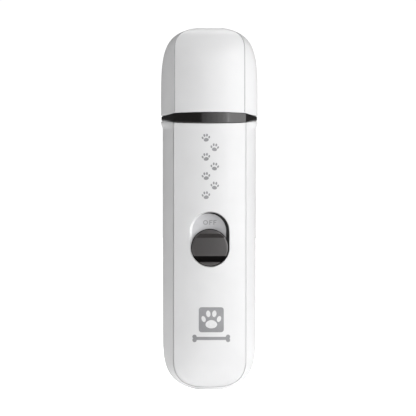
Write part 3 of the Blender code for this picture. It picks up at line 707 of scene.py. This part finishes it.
def make_handle():
    inside = grown(SECTION, -WALL)
    loops = [ring(handle_section(z), z) for z in HANDLE_LEVELS]
    loops += [ring(flared(SECTION, flare(d)), below_band(d)) for d in RIM_DISTANCES]
    loops += [ring(inside, below_band(0.1)), ring(inside, below_band(3.4)), ring(inside, 90)]
    loops += [ring(grown(handle_section(z), -WALL), z + 2) for z in reversed(HANDLE_LEVELS[:-5])]
    shell = loft("handle_shell", loops)
    window = front_box("panel_window", (-13.7, 13.7), (CLEAR_FRONT, -6), (8, CLEAR_TOP))
    recesses = [back_cutter(side * SCREW_X, z) for side in (-1, 1) for z in SCREW_HEIGHTS]
    carve(shell, panel_pocket(), window, port_cutter(), *recesses)
    dress(shell, "housing", "white_shell", ["rear_housing"])


def back_surface(x, z):
    """How far back the handle's outside is at this place."""
    outline = [point for point in handle_section(z) if point[1] >= WIDEST_Y]
    for (wide_x, near_y), (narrow_x, far_y) in zip(outline, outline[1:]):
        if narrow_x <= abs(x) <= wide_x:
            return mix(near_y, far_y, (wide_x - abs(x)) / (wide_x - narrow_x))
    return WIDEST_Y


def make_screw_wells():
    """The sleeves that the rear screws sink into, each ending inside the shell's wall."""
    under, inner = SEAT_Y - 0.8, WELL_RADIUS + 0.01
    hidden = 0.5  # how far a sleeve stops short of the shell's outside
    for word, side in (("left", -1), ("right", 1)):
        for level, z in zip(("low", "high"), SCREW_HEIGHTS):
            loops = []
            for k in range(WELL_STEPS):
                c, s = turned(k, WELL_STEPS)
                end = back_surface(side * SCREW_X + WELL_OUTSIDE * c, z + WELL_OUTSIDE * s) - hidden
                profile = [(SCREW_HOLE, under), (WELL_OUTSIDE, under), (WELL_OUTSIDE, end)]
                profile += [(inner, end), (inner, SEAT_Y), (SCREW_HOLE, SEAT_Y)]
                loops.append([(side * SCREW_X + r * c, y, z + r * s) for r, y in profile])
            well = loft(f"screw_well_{level}_{word}", loops, ends=False)
            dress(well, "housing", "white_shell")


def make_panel():
    rows = panel_rows(-SEAM_HALF)
    panel = grid_slab("front_panel", rows, shifted(rows, PANEL_THICKNESS))
    carve(panel, recess_cutter())
    soften_edges(panel, 0.25)
    dress(panel, "housing", "white_shell", ["front_cover"])


# How far each step of the band's rounded edge stands out, and where: a minus is inside the band.
BAND_EDGE = ((0.1, -0.18), (0.3, -0.2), (0.46, -0.3), (0.54, -0.5), (0.56, -0.8))


def make_band():
    """The dark collar, high at the front and narrow at the sides."""
    inside = grown(SECTION, -BORE_INSET)
    edge = BAND_EDGE[0][1]
    loops = [ring(flared(SECTION, outset), below_band(d)) for outset, d in BAND_EDGE]
    loops += [ring(flared(SECTION, outset), above_band(d)) for outset, d in reversed(BAND_EDGE)]
    loops += [ring(inside, above_band(edge)), ring(inside, below_band(edge))]
    band = loft("collar_ring", loops, ends=False)
    dress(band, "housing", "dark_gloss", ["collar_band"])


CAP_LOW_Z = 113


def make_cap():
    outer = []
    for distance in (0, 0.04, 0.12, 0.25, 0.4, 0.6, 1.2):
        outer.append(ring(flared(cap_section(CAP_LOW_Z), flare(distance)), above_band(distance)))
    outer += [ring(flared(cap_section(z), CAP_OUTSET), z) for z in CAP_LEVELS]
    bore = [grown(cap_section(z, CREASE_X), -BORE_INSET) for z in [CAP_LOW_Z] + CAP_LEVELS[1:]]
    inner = [ring(bore[0], above_band(0.05))]
    inner += [ring(half, z - CAP_ROOF) for half, z in zip(bore[1:], CAP_LEVELS[1:])]
    shell = loft("cap_shell", outer[::-1] + inner)
    dress(shell, "cap", "white_shell", ["cap"], crease=24)


def cap_crease_point(z):
    """Where the crease runs on the right of the cap's outside, at this height."""
    x = cap_crease(z)
    y = panel_y(x, -FRONT_DEPTH * closing(z, *TOP_DEPTH))
    return Vector((x, flared_depth(y, CAP_OUTSET), z))


def make_cap_seam():
    """The fine parting line along the cap's crease, up one side, over the top and down again. Its grey is
    painted shade of the crease.
    """
    low = BAND_Z + band_half(panel_y(CREASE_X)) + 0.5
    straight_top, steps = 136.0, 16
    levels = [mix(low, straight_top, k / steps) for k in range(steps + 1)]
    levels += [z for z in CAP_LEVELS if z > straight_top + 0.5]
    right = [cap_crease_point(z) for z in levels[:-1]]
    route = right + [Vector((-p.x, p.y, p.z)) for p in reversed(right)]
    loops = []
    for k, here in enumerate(route):
        along = (route[min(k + 1, len(route) - 1)] - route[max(k - 1, 0)]).normalized()
        side = along.cross(Vector((0, -1, 0.2))).normalized()
        out = side.cross(along)
        loop = []
        for step in range(SEAM_SIDES):
            c, s = turned(step, SEAM_SIDES)
            point = here + (side * c + out * s) * SEAM_RADIUS
            loop.append((point.x, point.y, min(point.z, HEIGHT)))
        loops.append(loop)
    dress(prism("cap_seam", loops), "cap", "silver_plate", (), CREASE_PAINTED_SHADE, 80)


# ==== Switch ====


# Radius of the stadiums that the recess's floor and wall end in, and how far each is off centre.
FLOOR_RADIUS, FLOOR_OFFSET = 7.2, (-0.45, 0.05)
WALL_RADIUS, WALL_OFFSET = 7.62, (0.36, 0.0)
FLOOR_DEPTH, FLOOR_HOLLOW = 12.3, 1.1
FLANGE_RADIUS, FLANGE_BACK, FLANGE_FRONT = 9.4, 11.5, 12.0
# Outer radius of a dark ring of painted shade, set off centre with the floor so that only a crescent on the
# right shows.
SHADE_CRESCENT_RADIUS = 8.3


def floor_depth(x):
    """How far the recess's hollow floor stands in front of the spindle's axis."""
    return FLOOR_DEPTH + FLOOR_HOLLOW * (x / 7.5) ** 2


def make_tray():
    """The hollow recess floor on its flange."""
    flange = stadium(FLANGE_RADIUS)
    loops = [at_recess(flange, FLANGE_BACK), at_recess(flange, FLANGE_FRONT)]
    loops.append(at_recess(stadium(FLOOR_RADIUS), FLANGE_FRONT))
    for share in (1, 0.97, 0.9, 0.8, 0.68, 0.55, 0.42, 0.3, 0.18, 0.08, 0.01):
        loops.append(at_recess(stadium(FLOOR_RADIUS * share, FLOOR_OFFSET), floor_depth))
    tray = prism("recess_tray", loops)
    carve(tray, prism("slot_cutter", [at_recess(box_outline(1.9, -1.1, 7.1), depth) for depth in (10, 15)]))
    dress(tray, "housing", "silver_plate", ["switch_plate"])


def sloped_ring(name, inner, inner_depth, outer, outer_depth, slot):
    """A ring of stadium outline whose face slopes from its inner to its outer edge."""
    loops = [at_recess(inner, inner_depth), at_recess(outer, outer_depth)]
    loops += [at_recess(outer, FLOOR_DEPTH), at_recess(inner, FLOOR_DEPTH)]
    dress(loft(name, loops, ends=False), "housing", slot)


def make_recess_edges():
    """The white sloped wall, wide on the left, and a dark ring of painted shade that shows as a crescent on
    the right.
    """
    sloped_ring(
        "recess_wall",
        stadium(WALL_RADIUS, WALL_OFFSET), lambda x: floor_depth(x) + 0.08,
        stadium(RECESS_RADIUS - 0.01), lambda x: -panel_y(x) - 0.35,
        "white_shell",
    )
    # Painted shade: a dark ring round the floor that stands for the shade of the recess's right wall.
    sloped_ring(
        "recess_painted_shade_crescent",
        stadium(FLOOR_RADIUS, FLOOR_OFFSET), lambda x: floor_depth(x) + 0.03,
        stadium(SHADE_CRESCENT_RADIUS, FLOOR_OFFSET), lambda x: floor_depth(x) + 0.05,
        "rubber",
    )


def box_outline(half_width, low, high):
    return [(half_width, low), (half_width, high), (-half_width, high), (-half_width, low)]


# Height above the knob's centre, and how far its face stands in front of the spindle's axis.
KNOB_FACE = [
    (-7.8, 14.4), (-6.2, 14.5), (-6.0, 14.42), (-5.85, 14.2), (-5.6, 14.15), (-4.6, 14.9), (-3.8, 15.65),
    (-3.6, 15.85), (-3.35, 15.97), (-2.6, 16.0), (3.7, 16.0), (4.1, 15.95), (4.35, 15.8), (5.3, 14.75),
    (5.55, 14.55), (5.9, 14.55), (6.4, 14.6), (7.8, 14.4),
]
# Heights between which the thumb bar's lower and upper slopes take painted shade.
LOWER_SLOPE = (-5.9, -3.45)
UPPER_SLOPE = (4.15, 5.8)
KNOB_EDGE = [
    (6.75, 13.35), (7.1, 13.8), (7.7, 13.9), (KNOB_RADIUS, 13.96), (KNOB_RADIUS, 14.08), (7.72, 14.12),
    (7.54, 14.13), (7.52, 14.16),
]
KNOB_BEVEL = [(7.5, 0.24), (7.36, 0.12), (7.2, 0.03)]
FACE_RADIUS = 7.1
KNOB_COLUMNS, KNOB_ROWS = 24, 56


def knob_depth(height):
    """How far the knob's face stands forward at this height."""
    for (low, a), (high, b) in zip(KNOB_FACE, KNOB_FACE[1:]):
        if height <= high:
            return mix(a, b, max(0.0, (height - low) / (high - low)))
    return KNOB_FACE[-1][1]


def knob_surface(x, height):
    """The knob's face bulges sideways just as the panel around it does."""
    return knob_depth(height) + panel_y(0) - panel_y(x)


def knob_heights():
    """Rows across the knob's face: where its profile bends, and evenly round its edge."""
    bends = [height for height, _ in KNOB_FACE if abs(height) < FACE_RADIUS - 0.1]
    edge = [FACE_RADIUS * math.sin(math.pi * (k / KNOB_ROWS - 0.5)) for k in range(1, KNOB_ROWS)]
    return sorted(bends + [h for h in edge if all(abs(h - b) > 0.08 for b in bends)])


def make_knob():
    """A disc with a raised thumb bar across it, on a thin skirt. The skirt and the bar's slopes get painted
    shade and the rim bevel a painted highlight.
    """
    heights, columns = knob_heights(), KNOB_COLUMNS
    right = [math.asin(h / FACE_RADIUS) for h in heights]
    angles = [-math.pi / 2, *right, math.pi / 2] + [math.pi - a for a in reversed(right)]
    loops = []
    for radius, depth in KNOB_EDGE:
        loops.append([(radius * math.cos(a), radius * math.sin(a), depth) for a in angles])
    for radius, drop in KNOB_BEVEL + [(FACE_RADIUS, 0.0)]:
        loop = [(radius * math.cos(a), radius * math.sin(a)) for a in angles]
        loops.append([(x, h, knob_surface(x, h * FACE_RADIUS / radius) - drop) for x, h in loop])
    faces = walls(loops) + [tuple(range(len(angles)))]
    points = joined(loops)
    first = len(points)
    for h in heights:
        half = math.sqrt(FACE_RADIUS**2 - h * h)
        xs = [half * (2 * c / columns - 1) for c in range(columns + 1)]
        points += [(x, h, knob_surface(x, h)) for x in xs]
    faces += grid_faces(first, len(heights), columns + 1)
    poles = (first - len(angles), first - len(angles) + len(heights) + 1)
    for pole, row in zip(poles, (0, len(heights) - 1)):
        start = first + row * (columns + 1)
        faces += [(pole, start + c, start + c + 1) for c in range(columns)]
    knob = new_object("thumb_slider", [(x, -depth, h + RECESS_LOW_Z) for x, h, depth in points], faces)
    dress(knob, "switch", "dark_gloss", ["switch_knob"], KNOB_SATIN_AND_PAINTED_TONES[SATIN], 28)
    for material in KNOB_SATIN_AND_PAINTED_TONES[SHADED:]:
        knob.data.materials.append(material)
    knob.visible_shadow = False
    for face in knob.data.polygons:
        x, height = face.center.x / MM, face.center.z / MM - RECESS_LOW_Z
        face.material_index = knob_zone(math.hypot(x, height), height)


def knob_zone(reach, height):
    """Which of the knob's materials a face has, this far from the knob's middle and above it: satin,
    painted shade on the skirt and slopes, or the rim's painted highlight.
    """
    if reach > KNOB_BEVEL[0][0] or LOWER_SLOPE[0] < height < LOWER_SLOPE[1]:
        return SHADED
    if reach > FACE_RADIUS + 0.04:
        return RIM_GLOSS_AND_PAINTED_HIGHLIGHT
    return UPPER_PAINTED_SHADE if UPPER_SLOPE[0] < height < UPPER_SLOPE[1] else SATIN


# ==== Printed marks ====


def moved(points, cx, cz, tilt):
    """A flat outline turned by tilt and then moved to a new middle."""
    c, s = math.cos(tilt), math.sin(tilt)
    return [(cx + x * c - z * s, cz + x * s + z * c) for x, z in points]


def ellipse(cx, cz, rx, rz, tilt=0.0, steps=20):
    around = [turned(k, steps) for k in range(steps)]
    return moved([(rx * c, rz * s) for c, s in around], cx, cz, tilt)


def paw(cx, cz, size, tilt=0.0):
    """Outlines of one paw print about size across: a pad and four toes."""
    pad, steps = [], 28
    for k in range(steps):
        c, s = turned(k, steps)
        pad.append((0.27 * c * (1 - 0.3 * s), 0.2 * s - 0.2 + 0.02 * turned(2 * k, steps)[0]))
    toes = [(side * 0.37, 0.03, 0.098, 0.15, side * -0.35) for side in (-1, 1)]
    toes += [(side * 0.145, 0.28, 0.105, 0.16, side * -0.1) for side in (-1, 1)]
    shapes = [pad] + [ellipse(*toe) for toe in toes]
    return [moved([(size * x, size * z) for x, z in shape], cx, cz, tilt) for shape in shapes]


LONGEST_EDGE = 0.5


def refined(outline):
    """The outline with points added so that it follows the surface it is laid on."""
    result = []
    for (x0, z0), (x1, z1) in zip(outline, outline[1:] + outline[:1]):
        parts = max(1, math.ceil(math.hypot(x1 - x0, z1 - z0) / LONGEST_EDGE))
        result += [(mix(x0, x1, k / parts), mix(z0, z1, k / parts)) for k in range(parts)]
    return result


SUNK, PROUD = 0.12, 0.03  # how far marks reach into the surface and stand out of it


def inlay(name, outlines, surface, material, slot="silver_plate", proud=PROUD):
    """Thin closed plates laid on a surface given as y(x). Each outline is star-shaped."""
    points, faces = [], []
    for outline in map(refined, outlines):
        start, count = len(points), len(outline)
        middle_x = sum(x for x, z in outline) / count
        middle_z = sum(z for x, z in outline) / count
        loops = [[(x, surface(x) + SUNK, z) for x, z in outline]]
        for share in (1.0, 0.8, 0.6, 0.4, 0.2, 0.0):
            flat = [(mix(middle_x, x, share), mix(middle_z, z, share)) for x, z in outline]
            loops.append([(x, surface(x) - proud, z) for x, z in flat])
        points += joined(loops)
        faces += [tuple(start + v for v in face) for face in walls(loops)]
        faces.append(tuple(range(start, start + count)))
    dress(new_object(name, points, faces), "housing", slot, (), material)


def bar(x0, z0, x1, z1, stroke):
    """A straight stroke as a four-cornered outline."""
    start, end = Vector((x0, z0)), Vector((x1, z1))
    along = (end - start).normalized() * (stroke / 2)
    side = Vector((-along.y, along.x))
    return [tuple(corner) for corner in (start + side, start - side, end - side, end + side)]


def bone(cx, cz, length, thickness):
    """One bone-shaped outline: a bar with two lobes at each end."""
    lobe = thickness * 0.34
    reach = length / 2 - lobe
    shapes = [bar(cx - reach, cz, cx + reach, cz, thickness * 0.5)]
    for side in (-1, 1):
        for rise in (-1, 1):
            shapes.append(ellipse(cx + side * reach, cz + rise * lobe * 0.78, lobe, lobe))
    return shapes


TRAIL_X = 0.2
EMBLEM_X = 0.6


def make_prints():
    """A trail of paws, a paw on a plate, and a bone, in grey ink on the front panel."""
    trail = []
    for k in range(7):
        side = 1 if k % 2 else -1
        trail += paw(TRAIL_X + side * 1.8, 80.6 + k * 3.95, 3.7, -side * 0.12)
    grey = (panel_y, GREY_INK)
    inlay("paw_trail_print", trail, *grey)
    inlay("emblem_plate_print", [rounded_box(EMBLEM_X, 29.3, 10.3, 10.3, 1.3)], *grey)
    inlay("emblem_paw_print", paw(EMBLEM_X, 29.35, 8.6), panel_y, WHITE_INK, "white_shell", proud=0.05)
    inlay("bone_print", bone(EMBLEM_X, 21.6, 15.6, 2.6), *grey, proud=0.035)


OFF_Z, ON_Z = 69.4, 54.4
LETTER_HALF = 0.95
STROKE = 0.34


def recess_floor(x):
    return -floor_depth(x)


def letter_o(name, cx, cz):
    """A thin upright oval ring on the recess floor."""
    outer, inner = ((1.0 - inset, LETTER_HALF - inset) for inset in (0, STROKE))
    loops = []
    for radii, depth in ((outer, SUNK), (outer, -PROUD), (inner, -PROUD), (inner, SUNK)):
        outline = ellipse(cx, cz, *radii, 0, 32)
        loops.append([(x, recess_floor(x) + depth, z) for x, z in outline])
    dress(loft(name, loops, ends=False), "housing", "silver_plate", (), MARK_GREY)


def upright(x, z):
    return bar(x, z - LETTER_HALF, x, z + LETTER_HALF, STROKE)


def make_switch_marks():
    """Plain ON and OFF words on the recess floor, each showing when the knob is away from it."""
    look = (recess_floor, MARK_GREY)
    letter_o("off_letter_o", -1.75, OFF_Z)
    strokes = []
    for left in (0.0, 1.7):
        strokes.append(upright(left, OFF_Z))
        for rise, length in ((0.8, 1.15), (0.02, 0.95)):
            strokes.append(bar(left, OFF_Z + rise, left + length, OFF_Z + rise, STROKE * 0.9))
    inlay("off_letter_f_pair", strokes, *look)
    letter_o("on_letter_o", -1.25, ON_Z)
    left, right = 0.6, 1.9
    slant = bar(left, ON_Z + 0.85, right, ON_Z - 0.85, STROKE)
    inlay("on_letter_n", [upright(left, ON_Z), slant, upright(right, ON_Z)], *look)


# ==== Neck, guard and drum ====


def make_neck():
    """The grinding head's base: a groove for the seal, a deck, and a rim that the guard fits round."""
    deck, rim = NECK_TOP_Z, 121
    groove_low, groove_top, groove = 115.2, 116.8, NECK_INSET + 0.7
    under, skirt = deck - 2.0, NECK_INSET + 1.6
    spindle_hole = 4.2
    stations = [(NECK_INSET, NECK_LOW_Z), (NECK_INSET, groove_low), (groove, groove_low + 0.05)]
    stations += [(groove, groove_top - 0.05), (NECK_INSET, groove_top), (NECK_INSET, deck - 0.25)]
    stations += [(NECK_INSET + 0.07, deck - 0.08), (NECK_INSET + 0.25, deck), (5.15, deck)]
    stations += [(5.2, deck + 0.05), (5.2, rim - 0.2), (5.35, rim)]
    stations += [(6.55, rim), (6.7, rim - 0.2), (6.7, deck)]
    loops = [ring(grown(SECTION, -inset), z) for inset, z in stations]
    circle = []
    for x, y, z in loops[-1]:
        reach = math.hypot(x, y)
        circle.append((spindle_hole * x / reach, spindle_hole * y / reach))
    loops += [[(x, y, level) for x, y in circle] for level in (deck, under)]
    loops += [ring(grown(SECTION, -skirt), z) for z in (under, NECK_LOW_Z)]
    dress(loft("neck_skirt", loops, ends=False), "housing", "neck_plastic", ["neck_frame"])


def guard_loops(inset, drop):
    """Loops up the guard's side and dome, inset from the handle's section and let down by drop."""
    steps = 26
    section = grown(SECTION, -inset)
    rise = GUARD_TOP_Z - DOME_START
    levels = [DOME_START + rise * math.sin(math.pi / 2 * k / steps) for k in range(steps + 1)]
    loops = []
    for z in [125] + levels:
        share = closing(z, DOME_START, DOME_HEIGHT, 3.5, 2.5)
        loops.append(ring([(x * share, y * share) for x, y in section], z - drop))
    return loops


def make_guard():
    """A milky cover with a large and a small port in its dome."""
    inside = GUARD_INSET + GUARD_WALL
    rounding = ((0.25, 0), (0.07, 0.08), (0, 0.25))
    outer = [ring(grown(SECTION, -GUARD_INSET - r), GUARD_LOW_Z + z) for r, z in rounding]
    outer += guard_loops(GUARD_INSET, 0)
    inner = [ring(grown(SECTION, -inside + r), GUARD_LOW_Z + z) for r, z in ((0.2, 0), (0, 0.2))]
    inner += guard_loops(inside, GUARD_WALL)
    guard = loft("guard_shell", outer[::-1] + inner)
    low, high = 136, 150
    cutters = []
    for k, (x, radius) in enumerate(PORTS):
        profile = [(0, low), (radius, low), (radius, high), (0, high)]
        cutters.append(lathe(f"port_{k}", profile, 72, centre=(x, 0)))
    carve(guard, *cutters)
    soften_edges(guard, 0.3, 55)
    dress(guard, "guard", "guard_plastic", ["nail_guard"], crease=40)


def make_drum():
    """The abrasive sleeve, with grains standing up from it."""
    inside, edge, rows = 4.5, 0.08, 44
    grain_size, grain_height = 0.3, 0.045
    profile = [(inside, DRUM_LOW_Z), (DRUM_RADIUS - 0.12, DRUM_LOW_Z)]
    for k in range(rows + 1):
        profile.append((DRUM_RADIUS - 0.04, mix(DRUM_LOW_Z + edge, DRUM_TOP_Z - edge, k / rows)))
    profile += [(DRUM_RADIUS - 0.12, DRUM_TOP_Z), (inside, DRUM_TOP_Z)]
    drum = lathe("abrasive_band", profile, 150)
    for vertex in drum.data.vertices:
        reach = math.hypot(vertex.co.x, vertex.co.y)
        if reach > (DRUM_RADIUS - 0.06) * MM:
            lift = grain_height * noise.noise(vertex.co / (grain_size * MM)) - 0.01
            vertex.co.x *= 1 + lift * MM / reach
            vertex.co.y *= 1 + lift * MM / reach
    dress(drum, "spindle", "abrasive", ["abrasive_sleeve"])


def make_drive_parts():
    """Smooth turned copies of the spindle parts that show when the guard is off."""
    low, top = DRUM_LOW_Z, DRUM_TOP_Z
    shaft, flange = 1.45, 3.8
    mandrel = [(0, 118.9), (shaft, 118.9), (shaft, low - 1.2), (flange, low - 1.2), (flange, low - 0.3)]
    mandrel += [(shaft, low - 0.3), (shaft, top - 2.2), (0, top - 2.2)]
    dress(lathe("mandrel_shaft", mandrel, 72, 0.12), "spindle", "steel", ["drum_mandrel"])
    core = [(1.75, low), (4.2, low), (4.2, top), (1.75, top)]
    dress(lathe("core_rubber", core, 72, 0.25), "spindle", "rubber", ["drum_core"])
    head, thread = top + 0.3, 1.2
    screw = [(0, top - 1.9), (thread, top - 1.9), (thread, head), (3.2, head), (3.2, head + 1.0)]
    screw = lathe("clamp_screw", screw + [(2.8, head + 1.4), (0, head + 1.4)], 72, 0.15)
    carve(screw, front_box("screw_slot", (-4, 4), (-0.4, 0.4), (head + 0.7, head + 3)))
    dress(screw, "spindle", "brass", ["drum_screw"])
    nut_top, flute_count, flute_reach = 125.4, 6, 5.75
    nut = [(3.9, 119.0), (4.9, 119.0), (5.2, 119.4), (5.2, 123.6), (4.4, nut_top), (1.8, nut_top)]
    nut = lathe("collet_cap_nut", nut + [(1.8, 123.9), (3.9, 123.9)], 96, 0.15)
    flute = [(0, 118), (0.9, 118), (0.9, 123.2), (0.6, 123.6), (0, 123.7)]
    flutes = []
    for k in range(flute_count):
        centre = tuple(flute_reach * share for share in turned(k, flute_count))
        flutes.append(lathe(f"flute_{k}", flute, 32, centre=centre))
    carve(nut, *flutes)
    dress(nut, "spindle", "steel", ["collet_nut"])


def front_box(name, x, y, z):
    points = [(a, b, c) for c in z for b in y for a in x]
    faces = [(0, 1, 3, 2), (4, 5, 7, 6), (0, 1, 5, 4), (2, 3, 7, 6), (0, 2, 6, 4), (1, 3, 7, 5)]
    return new_object(name, points, faces)


def dress_cad_nodes():
    """Gives every CAD node that still shows the material of its slot."""
    slots = {row["node"]: row["material_slot"] for row in frame["record"]["subparts"]}
    for name, obj in frame["nodes"].items():
        material = MATERIALS[slots[name]]
        for slot in obj.material_slots:
            slot.material = material
        if not obj.material_slots:
            obj.data.materials.append(material)


# ==== Floor, light and camera ====


# How much light the floor gives in front of the object and to its sides, and where the one fades out.
FLOOR_GLOW = (0.34, 0.04)
GLOW_FADES = (0.012, 0.05)


def make_floor():
    bpy.ops.mesh.primitive_plane_add(size=12, location=(0, 0, 0))
    floor = bpy.context.object
    floor.name = "studio_floor"
    white = (0.93, 0.93, 0.93)
    shader = Shader("floor_white", white, 0.6)
    shader.tint(shader.noise(900, 2), white, (0.91, 0.91, 0.91))
    shader.constant("Emission Color", (1, 1, 1, 1))
    axes = shader.node("ShaderNodeSeparateXYZ")
    shader.link(shader.place, axes.inputs["Vector"])
    sideways = shader.node("ShaderNodeMath", operation="ABSOLUTE")
    shader.link(axes.outputs["X"], sideways.inputs[0])
    bounce = shader.ramp(sideways.outputs["Value"], *FLOOR_GLOW, *GLOW_FADES)
    glow = shader.ramp(shader.node("ShaderNodeLightPath").outputs["Is Camera Ray"], 0, 1.0, 0, 1)
    shader.link(bounce, glow.node.inputs["To Min"])
    shader.link(glow, shader.surface.inputs["Emission Strength"])
    shader.constant("Specular IOR Level", 0.1)
    floor.data.materials.append(shader.material)


def make_world(front, back, mirrored, seen):
    """Plain surroundings whose strength differs for the front, the back, reflections and the camera."""
    world = bpy.data.worlds.new("studio")
    bpy.context.scene.world = world
    nodes = Nodes(world)
    background = nodes.tree.nodes["Background"]
    background.inputs["Color"].default_value = (1, 1, 1, 1)
    axes = nodes.node("ShaderNodeSeparateXYZ")
    nodes.link(nodes.node("ShaderNodeTexCoord").outputs["Generated"], axes.inputs["Vector"])
    strength = nodes.ramp(axes.outputs["Y"], front, back, -1, 1)
    path = nodes.node("ShaderNodeLightPath")
    for ray, value in (("Is Glossy Ray", mirrored), ("Is Camera Ray", seen)):
        choice = nodes.ramp(path.outputs[ray], 0, value, 0, 1)
        nodes.link(strength, choice.node.inputs["To Min"])
        strength = choice
    nodes.link(strength, background.inputs["Strength"])


def area_light(name, azimuth, elevation, distance, width, height, power, lights=True, shows=True):
    """A soft panel aimed at the object. Azimuth 0 is the front, 90 its right-hand side.

    One that only lights doesn't show in the gloss, and one that only shows lights nothing.
    """
    light = bpy.data.lights.new(name, "AREA")
    light.shape = "RECTANGLE"
    light.size, light.size_y = width, height
    light.energy = power
    obj = added(name, light)
    a, e = math.radians(azimuth), math.radians(elevation)
    away = Vector((math.sin(a) * math.cos(e), -math.cos(a) * math.cos(e), math.sin(e)))
    target = Vector((0, 0, 0.075))
    obj.location = target + away * distance
    obj.rotation_mode = "QUATERNION"
    obj.rotation_quaternion = away.to_track_quat("Z", "Y")
    obj.visible_camera = False
    obj.visible_diffuse = lights
    obj.visible_glossy = shows


# Narrow cards side by side that the dark gloss mirrors as one glow, brighter to the right.
CARD_POWERS = (0.19, 0.28, 0.37, 0.49, 0.65)
CARD_AZIMUTH, CARD_SPACING, CARD_WIDTH = -4.3, 5.4, 0.115


def make_lights():
    area_light("key_right", 60, 10, 1.2, 0.7, 1.5, 14.0)
    area_light("key_front_right", 35, 10, 1.2, 0.7, 1.5, 5.7)
    area_light("top_fill", 180, 72, 1.0, 0.5, 0.5, 1.1)
    area_light("left_fill", -105, 42, 1.2, 0.7, 1.4, 3.6, shows=False)
    for k, power in enumerate(CARD_POWERS):
        azimuth = CARD_AZIMUTH + CARD_SPACING * k
        area_light(f"card_{k}", azimuth, 0, 1.2, CARD_WIDTH, 1.4, power, lights=False)
    make_world(0.18, 0.5, 0.08, 1.05)


VIEW_AZIMUTH = -1.0


def make_camera():
    """Almost straight on to the front through a long lens, from a touch to the left."""
    data = bpy.data.cameras.new("camera")
    data.sensor_width = 36.0
    distance = 1.2
    view_height = 173.62 * MM
    data.lens = data.sensor_width * distance / view_height
    camera = added("camera", data)
    azimuth = math.radians(VIEW_AZIMUTH)
    target = Vector((-0.50, 0, 75.36)) * MM
    camera.location = target + distance * Vector((math.sin(azimuth), -math.cos(azimuth), 0))
    camera.rotation_euler = (math.pi / 2, 0, azimuth)
    data.clip_start, data.clip_end = 0.05, 50
    bpy.context.scene.camera = camera


make_handle()
make_screw_wells()
make_panel()
make_band()
make_cap()
make_cap_seam()
make_tray()
make_recess_edges()
make_knob()
make_prints()
make_switch_marks()
make_neck()
make_guard()
make_drum()
make_drive_parts()
dress_cad_nodes()
make_floor()
make_lights()
make_camera()
bpy.context.scene.view_settings.view_transform = "Standard"
